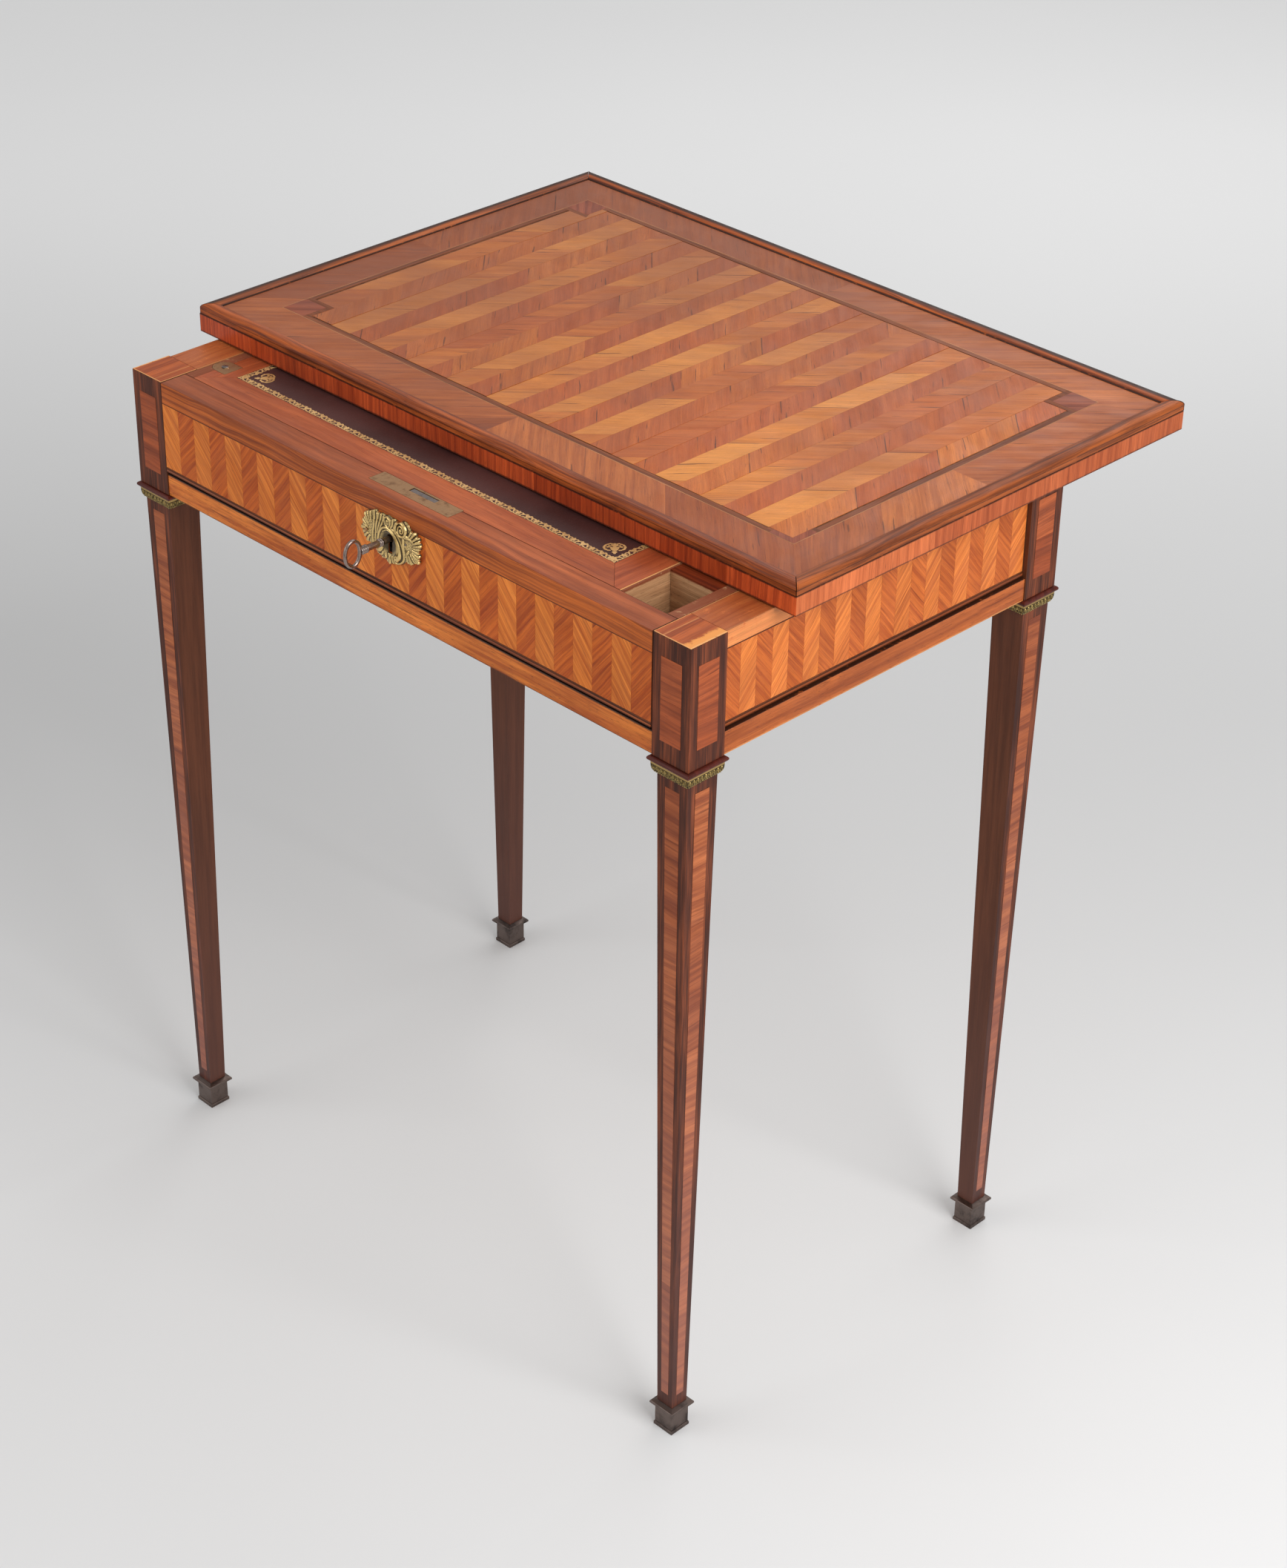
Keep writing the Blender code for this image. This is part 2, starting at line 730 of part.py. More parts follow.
def make_batten(sign, side, board):
    """T-shaped batten, housed in the top's underside and held in the rail's groove."""
    neck = batten_neck_width / 2
    head = batten_head_width / 2
    neck_bottom = case_top - batten_neck_drop
    head_bottom = neck_bottom - batten_head_height
    seat = top_bottom + batten_housing_depth
    middle = sign * batten_x
    outline = [
        (middle - neck, seat), (middle - neck, neck_bottom), (middle - head, neck_bottom),
        (middle - head, head_bottom), (middle + head, head_bottom), (middle + head, neck_bottom),
        (middle + neck, neck_bottom), (middle + neck, seat),
    ]
    prism("top_batten_" + side, outline, batten_front, batten_back, "Y", top_body, inner_wood)
    cut(board, box_tool("batten_housing_" + side, [(
        (middle - neck - fit_gap, batten_front - fit_gap, top_bottom - cut_overrun),
        (middle + neck + fit_gap, batten_back + fit_gap, seat + fit_gap))], top_body))


def strike_cutter(board):
    """Strike plate under the top, over the bolt when the top is closed, and its pocket."""
    left = bolt_left - bolt_slot_gap
    right = bolt_right + bolt_slot_gap
    front = bolt_front + top_open_shift - bolt_slot_gap
    back = bolt_back + top_open_shift + bolt_slot_gap
    middle = (front + back) / 2
    plate_low = Vector((left - strike_side_reach, middle - strike_depth / 2, top_bottom))
    plate_high = Vector((right + strike_side_reach, middle + strike_depth / 2,
                         top_bottom + strike_thickness))
    plate = block("strike_plate", plate_low, plate_high, top_body, brass)
    slot = box_tool("strike_slot", [(
        (left, front, top_bottom - cut_overrun),
        (right, back, top_bottom + strike_thickness + cut_overrun))], top_body)
    cut(plate, slot)
    gap = Vector((fit_gap, fit_gap, fit_gap))
    cut(board, box_tool("strike_seat", [(
        plate_low - Vector((fit_gap, fit_gap, cut_overrun)), plate_high + gap)], top_body))
    return box_tool("strike_pocket", [(
        (left, front, top_bottom - cut_overrun),
        (right, back, bolt_top + bolt_rise + strike_headroom))], top_body)


def tail_outline(centre, face, outward, grow):
    """Points of one dovetail at a face, from its lower root to its upper root, as (y, z)."""
    pitch = (case_top - drawer_side_bottom) / tail_count
    root = pitch * tail_root_share / 2 + grow
    tip = pitch * tail_tip_share / 2 + grow
    end = face + outward * (tail_length + grow)
    return [(face, centre - root), (end, centre - tip), (end, centre + tip), (face, centre + root)]


def tail_centres():
    pitch = (case_top - drawer_side_bottom) / tail_count
    return [drawer_side_bottom + pitch * (index + 1 / 2) for index in range(tail_count)]


def make_drawer_side(sign, side, front):
    """Side with lapped dovetails at the front and grooves for the floor, back and tongue."""
    outline = [(drawer_back_face, drawer_side_bottom), (drawer_front_back + fit_gap, drawer_side_bottom)]
    face = drawer_front_back + fit_gap
    for centre in tail_centres():
        outline += tail_outline(centre, face, -1, 0)
    outline += [(drawer_front_back + fit_gap, case_top), (drawer_back_face, case_top)]
    span = sorted((sign * drawer_side_inner, sign * drawer_half_width))
    name = "drawer_side_" + side
    board = prism(name, outline, span[0], span[1], "X", drawer_body, inner_wood)
    for index, centre in enumerate(tail_centres()):
        inner = sign * (drawer_side_inner - fit_gap)
        outer = sign * (drawer_half_width + cut_overrun)
        low, high = sorted((inner, outer))
        socket_outline = tail_outline(centre, face, -1, fit_gap)
        socket_outline[0] = (face + cut_overrun, socket_outline[0][1])
        socket_outline[-1] = (face + cut_overrun, socket_outline[-1][1])
        socket = prism("tail_socket_" + side + "_" + str(index + 1), socket_outline, low, high,
                       "X", drawer_body)
        cut(front, socket)
    cut(board, side_grooves(sign, side))
    return board


def side_grooves(sign, side):
    """Grooves of a drawer side: inside for floor and back, outside for the runner's tongue."""
    inner = drawer_side_inner
    low, high = tongue_levels()
    tip = drawer_half_width - tongue_reach - slide_gap

    def span(near, far):
        return sorted((sign * near, sign * far))

    floor = span(inner - cut_overrun, inner + drawer_bottom_tongue + fit_gap)
    back = span(inner - cut_overrun, inner + drawer_housing_depth + fit_gap)
    tongue = span(tip, drawer_half_width + cut_overrun)
    return box_tool("drawer_side_grooves_" + side, [
        ((floor[0], drawer_floor_front - fit_gap, drawer_floor_bottom - fit_gap),
         (floor[1], drawer_back_face + cut_overrun, drawer_floor + fit_gap)),
        ((back[0], drawer_back_front - fit_gap, drawer_floor + 2 * fit_gap),
         (back[1], drawer_back_face + cut_overrun, case_top + cut_overrun)),
        ((tongue[0], -inner_y, low - slide_gap),
         (tongue[1], drawer_back_face + cut_overrun, high + slide_gap)),
    ], drawer_body)


def make_drawer():
    """Front, sides, back and floor of the drawer."""
    front = block("drawer_front", (-drawer_half_width, -half_depth, drawer_front_bottom),
                  (drawer_half_width, drawer_front_back, case_top), drawer_body, tulipwood, fit_gap)
    left_board = None
    for sign, side in sides:
        board = make_drawer_side(sign, side, front)
        left_board = left_board or board
    back_half = drawer_side_inner + drawer_housing_depth
    block("drawer_back", (-back_half, drawer_back_front, drawer_floor + 3 * fit_gap),
          (back_half, drawer_back_face, case_top - drawer_back_drop), drawer_body, inner_wood)
    floor_half = drawer_side_inner + drawer_bottom_tongue
    block("drawer_floor", (-floor_half, drawer_floor_front, drawer_floor_bottom),
          (floor_half, drawer_back_face, drawer_floor), drawer_body, inner_wood)
    cut(front, box_tool("drawer_front_groove", [(
        (-floor_half - fit_gap, drawer_floor_front - fit_gap, drawer_floor_bottom - fit_gap),
        (floor_half + fit_gap, drawer_front_back + cut_overrun, drawer_floor + fit_gap))], drawer_body))
    return front, left_board


def make_flap(left_board):
    """Framed writing flap: mitred front and back rails, two stiles, board and leather."""
    bottom = flap_bottom
    top = case_top
    gap = fit_gap / 2
    front_mitre = leather_right + flap_front_width
    left_mitre = leather_left - flap_front_width
    rail_left = max(left_mitre, flap_left)
    rail_drop = rail_left - left_mitre
    front_rail = prism("flap_rail_front", [
        (leather_left + gap, leather_front), (rail_left + gap, flap_front + rail_drop),
        (rail_left + gap, flap_front), (front_mitre - gap, flap_front), (leather_right - gap, leather_front),
    ], bottom, top, "Z", drawer_body, rail_wood)
    prism("flap_rail_back", [
        (leather_left + gap, leather_back), (leather_right - gap, leather_back),
        (front_mitre - gap, flap_back), (rail_left + gap, flap_back),
        (rail_left + gap, flap_back - rail_drop),
    ], bottom, top, "Z", drawer_body, rail_wood)
    stile = prism("flap_stile_left", [
        (rail_left, flap_front + rail_drop + 2 * gap), (leather_left, leather_front + 2 * gap),
        (leather_left, leather_back - 2 * gap), (rail_left, flap_back - rail_drop - 2 * gap),
    ], bottom, top, "Z", drawer_body, rail_wood)
    prism("flap_stile_right", [
        (leather_right, leather_front + gap), (front_mitre + gap, flap_front), (flap_right, flap_front),
        (flap_right, flap_back), (front_mitre + gap, flap_back), (leather_right, leather_back - gap),
    ], bottom, top, "Z", drawer_body, rail_wood)
    leather_top = case_top - leather_sink
    board_top = leather_top - leather_thickness - fit_gap
    low = Vector((leather_left + fit_gap, leather_front + fit_gap, 0))
    high = Vector((leather_right - fit_gap, leather_back - fit_gap, 0))
    block("flap_board", low + Vector((0, 0, board_top - flap_board_thickness)),
          high + Vector((0, 0, board_top)), drawer_body, inner_wood)
    block("writing_leather", low + Vector((0, 0, leather_top - leather_thickness)),
          high + Vector((0, 0, leather_top)), drawer_body, leather)
    make_hinges(stile, left_board)
    make_ledges()
    return front_rail


def make_ledges():
    """Two ledges that the flap lies on, one on the drawer's side and one on the divider."""
    top = flap_bottom - fit_gap
    for name, near, far in (("flap_ledge_left", flap_left, flap_left + ledge_width),
                            ("flap_ledge_right", flap_right - ledge_width, flap_right)):
        block(name, (near, flap_front + flap_front_width, top - ledge_height), (far, flap_back, top),
              drawer_body, inner_wood)


def hinge_outline(y, grow):
    """Plate with a round left end over the drawer's side, as (x, y) points."""
    half = hinge_width / 2 + grow
    right = -drawer_half_width + hinge_length + grow
    left = -drawer_half_width + fit_gap + half - grow
    points = arc_points((left, y), (half, half), math.pi / 2, 3 * math.pi / 2, 2 * arc_steps)
    return points + [(right, y - half), (right, y + half)]


def make_hinges(stile, left_board):
    """Brass hinge plates let into the flap's left edge, each with a screw's head."""
    for name, y in (("flap_hinge_front", flap_front + hinge_setback + hinge_width / 2),
                    ("flap_hinge_back", flap_back - hinge_setback - hinge_width / 2)):
        seat = case_top - hinge_thickness
        plate = prism(name, hinge_outline(y, 0), seat, case_top, "Z", drawer_body, brass)
        middle = -drawer_half_width + hinge_length - hinge_width / 2
        radius = hinge_screw_diameter / 2
        head = turned(name + "_screw", [
            (0, hinge_screw_rise), (radius * 3 / 4, hinge_screw_rise), (radius, 0),
            (radius, -hinge_thickness / 2), (0, -hinge_thickness / 2),
        ], (middle, y, case_top), drawer_body, None, turned_steps, (0, 0, 0), False)
        join(plate, head)
        pocket = prism(name + "_seat", hinge_outline(y, fit_gap), seat - fit_gap, case_top + cut_overrun,
                       "Z", drawer_body)
        cut(stile, pocket)
        cut(left_board, pocket)


def make_compartments():
    """Divider between the flap's well and the open compartments, and their partition."""
    divider_back = drawer_back_front - fit_gap
    block("compartment_divider", (divider_left, drawer_front_back + fit_gap, drawer_floor + fit_gap),
          (pen_box_left, divider_back, case_top), drawer_body, inner_wood)
    front = drawer_front_back + pen_box_length
    block("compartment_partition", (pen_box_left + fit_gap, front, drawer_floor + fit_gap),
          (pen_box_right - fit_gap, front + partition_thickness, case_top - partition_drop),
          drawer_body, inner_wood)


def keyhole_tool(name, front, back):
    """Keyhole along Y: a round hole for the shaft over a slot for the bit."""
    radius = key_shaft_diameter / 2 + keyhole_gap
    slot = keyhole_slot_width / 2
    depth = key_axis_height - key_bit_reach - keyhole_gap
    opening = math.asin(slot / radius)
    points = arc_points((0, key_axis_height), (radius, radius), -math.pi / 2 + opening,
                        3 * math.pi / 2 - opening, 3 * arc_steps)
    points += [(-slot, depth), (slot, depth)]
    return prism(name, points, front, back, "Y", drawer_body)


def make_lock(front, flap_rail):
    """Half-mortise lock: an L-shaped plate let into the front, a case, and the bolt."""
    left = -lock_left_reach
    right = lock_right_reach
    face_bottom = case_top - lock_plate_thickness
    back_bottom = lock_back_bottom
    outline = [
        (lock_face_front, case_top), (lock_face_front, face_bottom), (drawer_front_back, face_bottom),
        (drawer_front_back, back_bottom), (lock_back_face, back_bottom), (lock_back_face, case_top),
    ]
    plate = prism("lock_plate", outline, left, right, "X", drawer_body, brass)
    cut(plate, box_tool("bolt_slot", [(
        (bolt_left - bolt_slot_gap, bolt_front - bolt_slot_gap, face_bottom - cut_overrun),
        (bolt_right + bolt_slot_gap, drawer_front_back - fit_gap, case_top + cut_overrun))], drawer_body))
    gap = fit_gap
    cut(front, box_tool("lock_face_seat", [(
        (left - gap, lock_face_front - gap, face_bottom - gap),
        (right + gap, drawer_front_back + cut_overrun, case_top + cut_overrun))], drawer_body))
    cut(flap_rail, box_tool("flap_rail_notch", [(
        (left - gap, drawer_front_back - cut_overrun, flap_bottom - cut_overrun),
        (right + gap, lock_back_face + gap, case_top + cut_overrun))], drawer_body))

    case_left = left + lock_case_side_inset
    case_right = right - lock_case_side_inset
    case_top_level = face_bottom - gap
    wall = lock_case_wall
    case = block("lock_case", (case_left, lock_case_front, back_bottom),
                 (case_right, lock_case_back, case_top_level), drawer_body, steel)
    cut(case, box_tool("lock_case_room", [(
        (case_left + wall, lock_case_front + wall, back_bottom + wall),
        (case_right - wall, lock_case_back + cut_overrun, case_top_level + cut_overrun))], drawer_body))
    cut(front, box_tool("lock_pocket", [(
        (case_left - gap, lock_case_front - gap, back_bottom - gap),
        (case_right + gap, drawer_front_back + cut_overrun, face_bottom))], drawer_body))
    keyhole = keyhole_tool("keyhole", escutcheon_front - cut_overrun,
                           lock_case_front + wall + cut_overrun)
    cut(front, keyhole)
    cut(case, keyhole)
    make_bolt()
    make_escutcheon(keyhole)


def make_bolt():
    """Bolt plate with a tail down beside the key, and a talon over the bit's path."""
    tail_right = bolt_right - slide_gap
    tail_left = tail_right - bolt_tail_width
    outline = [
        (bolt_left, bolt_bottom), (bolt_left, bolt_top), (bolt_right, bolt_top),
        (bolt_right, bolt_tail_bottom), (tail_left, bolt_tail_bottom),
        (tail_left, bolt_bottom),
    ]
    bolt = prism("lock_bolt", outline, bolt_front, bolt_back, "Y", bolt_body, steel)
    join(bolt, box_tool("bolt_talon", [(
        (bolt_left, bolt_front - talon_depth, bolt_bottom),
        (bolt_left + bolt_tail_width, bolt_front + cut_overrun / 2, bolt_bottom + talon_height))], bolt_body))


def make_key():
    """Steel key: oval bow across the shaft, collared shaft, and a bit that hangs down."""
    radius = key_shaft_diameter / 2
    ring = radius + key_collar_reach
    bow_section = key_bow_section / 2
    shaft_start = -half_depth - key_reach + key_bow_length - bow_section
    length = key_tip - shaft_start
    visible = escutcheon_front - shaft_start
    profile = [(0, length), (radius - fit_gap, length), (radius, length - fit_gap)]
    for share in reversed(key_collar_shares):
        middle = visible * share
        profile += [(radius, middle + key_collar_length / 2), (ring, middle + key_collar_length / 4),
                    (ring, middle - key_collar_length / 4), (radius, middle - key_collar_length / 2)]
    profile += [(radius, 0), (0, 0)]
    key = turned("key", profile, (0, shaft_start, key_axis_height), key_body, steel,
                 turned_steps, (-math.pi / 2, 0, 0), False)
    bow_length = key_bow_length - key_bow_section
    bow_height = key_bow_height - key_bow_section
    bow_centre = (0, -half_depth - key_reach + key_bow_length / 2, key_axis_height)
    join(key, bow_tool(bow_centre, bow_length / 2, bow_height / 2, bow_section))
    join(key, box_tool("key_bit", [(
        (-key_bit_thickness / 2, key_bit_back - key_bit_length, key_axis_height - key_bit_reach),
        (key_bit_thickness / 2, key_bit_back, key_axis_height))], key_body))


def bow_tool(centre, half_length, half_height, section):
    """Oval ring in the plane of the shaft, swept as a bevelled curve."""
    curve = bpy.data.curves.new("key_bow", "CURVE")
    curve.dimensions = "3D"
    curve.bevel_depth = section
    curve.bevel_resolution = 1
    spline = curve.splines.new("POLY")
    count = turned_steps + 4
    spline.points.add(count - 1)
    for index, spot in enumerate(spline.points):
        angle = 2 * math.pi * index / count
        spot.co = (0, half_length * math.cos(angle), half_height * math.sin(angle), 1)
    spline.use_cyclic_u = True
    mesh = curve_to_mesh("key_bow", curve)
    return place_piece("key_bow", mesh, centre, key_body, None)


def escutcheon_outline():
    """Lobed outline of the cast plate, two wings and a disc, as (x, z) points."""
    points = []
    for index in range(escutcheon_points):
        angle = 2 * math.pi * index / escutcheon_points
        across = math.cos(angle)
        up = math.sin(angle)
        height = escutcheon_wing_rise if up > 0 else escutcheon_wing_drop
        wing = (abs(across / escutcheon_width * 2) ** escutcheon_power
                + abs(up / height) ** escutcheon_power) ** (-1 / escutcheon_power)
        disc = math.sqrt(escutcheon_disc_radius ** 2 - (escutcheon_drop * across) ** 2) - escutcheon_drop * up
        lobe = 1 - escutcheon_lobe_share * (1 + math.cos(escutcheon_lobes * angle)) / 2
        reach = max(wing, disc) * lobe
        points.append((reach * across, key_axis_height + reach * up))
    return points


def make_escutcheon(keyhole):
    """Cast plate round the keyhole, with two raised rings and three bosses."""
    back = -half_depth - fit_gap
    face = back - escutcheon_thickness
    plate = prism("escutcheon", escutcheon_outline(), face, back, "Y", drawer_body, bronze)
    ease_edges(plate, escutcheon_edge)
    section = escutcheon_ring_section
    for index, radius in enumerate(escutcheon_ring_radii):
        profile = arc_points((radius, section / 4), (section, section * 3 / 4), 0, math.pi, arc_steps)
        profile += [(radius - section, -section), (radius + section, -section)]
        ring = turned("escutcheon_ring_" + str(index + 1), list(reversed(profile)),
                      (0, face, key_axis_height - escutcheon_drop), drawer_body, None, 2 * turned_steps,
                      (math.pi / 2, 0, 0), True)
        join(plate, ring)
    for index in (-1, 0, 1):
        radius = escutcheon_boss_radius
        boss = turned("escutcheon_boss_" + str(index + 2), [
            (0, escutcheon_boss_height), (radius / 2, escutcheon_boss_height), (radius, section / 3),
            (radius, -section), (0, -section),
        ], (index * escutcheon_boss_spread, face, key_axis_height + escutcheon_boss_rise),
            drawer_body, None, turned_steps, (math.pi / 2, 0, 0), False)
        join(plate, boss)
    cut(plate, keyhole)


for sign, side in sides:
    make_side(sign, side)
make_ends()
for sx, side in sides:
    for sy, end in ends:
        make_leg(sx, side, sy, end)
make_top()
drawer_front, drawer_left = make_drawer()
flap_rail_front = make_flap(drawer_left)
make_compartments()
make_lock(drawer_front, flap_rail_front)
make_key()
bpy.context.view_layer.update()
print("pieces:", len([thing for thing in table_group.objects if thing.type == "MESH"]))
print("drawer travel, m:", round(drawer_travel, 4))
print("key's turn for a metre of the bolt's lift, radians:", round(key_ratio, 3))
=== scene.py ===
# %% [markdown]
# # A small writing table with a sliding top
# The table is veneered all over: thin sheets of two woods are glued to a plain carcass, with
# the grain turned to and fro so that the strips catch the light differently. Cast and
# chased bronze, a gilt-tooled leather and a working lock finish it. This lesson starts from
# the plain solid parts and lays the veneers, the metalwork and the finishes on them.

import json
import math

import bmesh
import bpy
import numpy as np
from mathutils import Matrix, Vector

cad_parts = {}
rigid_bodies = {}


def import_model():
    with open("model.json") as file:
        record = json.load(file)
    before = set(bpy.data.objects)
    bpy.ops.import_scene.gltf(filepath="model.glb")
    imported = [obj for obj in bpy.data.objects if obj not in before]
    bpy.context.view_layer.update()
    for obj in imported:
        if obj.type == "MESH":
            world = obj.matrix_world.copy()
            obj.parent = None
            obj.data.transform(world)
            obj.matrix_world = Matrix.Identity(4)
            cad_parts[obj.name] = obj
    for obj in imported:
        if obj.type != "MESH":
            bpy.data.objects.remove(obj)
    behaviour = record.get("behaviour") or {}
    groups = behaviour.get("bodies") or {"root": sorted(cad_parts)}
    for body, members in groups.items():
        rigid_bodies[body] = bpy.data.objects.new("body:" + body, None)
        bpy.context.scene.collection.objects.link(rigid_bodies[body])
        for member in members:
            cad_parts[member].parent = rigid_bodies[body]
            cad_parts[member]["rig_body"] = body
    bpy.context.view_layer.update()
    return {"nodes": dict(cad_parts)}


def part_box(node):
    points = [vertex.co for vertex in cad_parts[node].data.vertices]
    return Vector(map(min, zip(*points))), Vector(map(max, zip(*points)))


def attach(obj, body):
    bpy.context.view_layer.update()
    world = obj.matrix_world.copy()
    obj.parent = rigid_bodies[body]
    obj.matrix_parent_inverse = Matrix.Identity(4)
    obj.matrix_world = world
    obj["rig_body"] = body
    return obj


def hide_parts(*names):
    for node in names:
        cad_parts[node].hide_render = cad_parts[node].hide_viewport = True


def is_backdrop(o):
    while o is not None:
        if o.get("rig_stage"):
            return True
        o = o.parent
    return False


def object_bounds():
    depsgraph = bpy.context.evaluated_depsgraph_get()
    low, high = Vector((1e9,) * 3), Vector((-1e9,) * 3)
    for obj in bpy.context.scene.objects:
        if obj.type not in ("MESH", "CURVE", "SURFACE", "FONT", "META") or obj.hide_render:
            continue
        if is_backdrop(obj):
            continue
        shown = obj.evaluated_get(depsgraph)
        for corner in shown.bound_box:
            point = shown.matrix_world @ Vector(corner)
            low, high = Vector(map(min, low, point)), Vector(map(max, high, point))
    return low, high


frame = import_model()
nodes = frame["nodes"]
MM = 0.001

# %% [markdown]
# ## Camera
# The camera stands to the right of the table and above it. It could be placed by eye, but
# the table's straight edges fix it exactly, so its place and its three directions are given.

# %% Set up the camera
PHOTO_SIZE = (1736, 2115)
FOCAL_PIXELS = 4315.76
eye = Vector((1560.57, -1541.26, 1729.95)) * MM
look = Vector((-0.59785, 0.60261, -0.52861))
right = Vector((0.70370, 0.71036, 0.01394))
up = right.cross(look)
camera_data = bpy.data.cameras.new("camera")
camera_data.lens = FOCAL_PIXELS / max(PHOTO_SIZE) * camera_data.sensor_width
camera_data.clip_start = 0.01
camera = bpy.data.objects.new("camera", camera_data)
turn = Matrix((right, up, -look)).transposed()
camera.matrix_world = Matrix.Translation(eye) @ turn.normalized().to_4x4()
bpy.context.scene.collection.objects.link(camera)
bpy.context.scene.camera = camera
print("lens, mm:", round(camera_data.lens, 2))

# %% [markdown]
# ## Node trees in few words
# Finishes and repeated forms are both trees of nodes. Each node could be made and wired line
# by line. These helpers make a node, fill its sockets and wire it in one call, and work in
# both kinds of tree. They add to the tree that was opened last. Colours are given as they
# look on a screen, from 0 to 255.

# %% Make a node
SIGNS = {"+": "ADD", "-": "SUBTRACT", "*": "MULTIPLY", "/": "DIVIDE", "*+": "MULTIPLY_ADD"}


class Open:
    """The tree of nodes that is being wired."""
    tree = None


def wire(value, node, key):
    """Links a socket to an input of a node."""
    Open.tree.links.new(value, node.inputs[key])


def add(kind, inputs=None, **settings):
    """Makes a node. Inputs are given by name or number, as a value or as another socket."""
    node = Open.tree.nodes.new(kind)
    for key, value in settings.items():
        setattr(node, key, value)
    for key, value in (inputs or {}).items():
        if isinstance(value, bpy.types.NodeSocket):
            wire(value, node, key)
        else:
            node.inputs[key].default_value = value
    return node


def made(kind, inputs=None, **settings):
    """The first output of a new node."""
    return add(kind, inputs, **settings).outputs[0]


def calc(sign, *values):
    """One step of arithmetic on numbers. The sign *+ multiplies the first two, then adds."""
    inputs = dict(enumerate(values))
    return made("ShaderNodeMath", inputs, operation=SIGNS.get(sign, sign))


def vector_calc(sign, *values):
    """One step of arithmetic on vectors."""
    inputs = dict(enumerate(values))
    return made("ShaderNodeVectorMath", inputs, operation=SIGNS.get(sign, sign))


# %% Vectors and places in a tree
def vector(x=0.0, y=0.0, z=0.0):
    """A vector from three numbers."""
    return made("ShaderNodeCombineXYZ", {0: x, 1: y, 2: z})


def parts(value):
    """The three numbers of a vector."""
    return add("ShaderNodeSeparateXYZ", {0: value}).outputs


def room_place():
    """Where a point lies in the room, in metres."""
    return add("ShaderNodeTexCoord").outputs["Object"]


def noise(place, scales, detail=2.0, rough=0.5):
    """Noise that is stretched by its own scale along each direction."""
    scales = scales if isinstance(scales, tuple) else (scales,) * 3
    stretched = vector_calc("*", place, scales)
    inputs = {"Vector": stretched, "Scale": 1.0, "Detail": detail, "Roughness": rough}
    return add("ShaderNodeTexNoise", inputs).outputs["Fac"]


def ramp(value, low, high, start=0.0, end=1.0):
    """Turns the range low to high into start to end, smoothly."""
    inputs = {"Value": value, "From Min": low, "From Max": high, "To Min": start, "To Max": end}
    return made("ShaderNodeMapRange", inputs, interpolation_type="SMOOTHSTEP")


# %% Colours and finishes
def colour(red, green, blue):
    """A colour on the screen as the linear values of a node."""
    shares = [part / 255 for part in (red, green, blue)]
    linear = [((s + 0.055) / 1.055) ** 2.4 if s > 0.04045 else s / 12.92 for s in shares]
    return (*linear, 1.0)


def blend(share, first, second, kind="MIX"):
    """Mixes two colours, each a socket or its three values on the screen."""
    first, second = (colour(*c) if isinstance(c, tuple) else c for c in (first, second))
    inputs = {0: share, 6: first, 7: second}
    return add("ShaderNodeMix", inputs, data_type="RGBA", blend_type=kind).outputs[2]


def tinted(body, tint):
    """A colour multiplied by another one."""
    return blend(1.0, body, tint, "MULTIPLY")


def shade(red, green, blue):
    """A colour from three numbers of the tree."""
    return made("ShaderNodeCombineColor", {0: red, 1: green, 2: blue})


looks = {}


def new_finish(name, shine=0.5, rough=0.5, metallic=0.0):
    """A new material, kept in looks under its name. Its tree is opened."""
    looks[name] = bpy.data.materials.new(name)
    looks[name].use_nodes = True
    Open.tree = looks[name].node_tree
    Open.tree.nodes.clear()
    shader = add("ShaderNodeBsdfPrincipled", {
        "Specular IOR Level": shine, "Roughness": rough, "Metallic": metallic})
    add("ShaderNodeOutputMaterial", {"Surface": shader.outputs[0]})
    return shader


def bumps(shader, height, strength, distance):
    """Lets a height raise and lower the surface's normal."""
    inputs = {"Strength": strength, "Distance": distance, "Height": height}
    node = add("ShaderNodeBump", inputs)
    wire(node.outputs[0], shader, "Normal")


# %% [markdown]
# ## Wood
# All the woods share one build-up: broad streaks of colour, fine fibres, short dark pores
# and cloudy patches of age. The noise is stretched along the grain. A solid part takes its
# grain along an axis of the room. A piece of veneer carries its own place along and across
# the grain as an attribute, so each piece can be cut from the sheet at any angle.

# %% Where a point lies in the wood
def grain_place(along):
    """The point as (along the grain, across it, across it the other way)."""
    if along == "veneer":
        return add("ShaderNodeAttribute", attribute_name="grain").outputs["Vector"]
    split = parts(room_place())
    order = {"X": "XYZ", "Y": "YXZ", "Z": "ZXY"}[along]
    return vector(*(split[axis] for axis in order))


# %% Marks along edges
def edge_marks(body, edges):
    """Worn or dirty edges, or painted shade along them, given as (axis, level, reach, colour,
    strength), in millimetres.

    The axis X stands for both sides of the table, and the number 0 for the true place on X.
    """
    if not edges:
        return body
    place = room_place()
    split = parts(place)
    ragged = noise(place, 150, detail=4, rough=0.7)
    for axis, level, reach, paint, strength in edges:
        here = calc("ABSOLUTE", split[0]) if axis == "X" else split[axis]
        gap = calc("ABSOLUTE", calc("-", here, level * MM))
        near = ramp(gap, reach * MM * 0.3, reach * MM, 1.0, 0.0)
        if strength < 1:
            torn = ramp(calc("*+", near, 0.25, ragged), 0.5, 0.68)
            near = calc("*", near, torn)
        body = blend(calc("*", near, strength), body, paint)
    return body


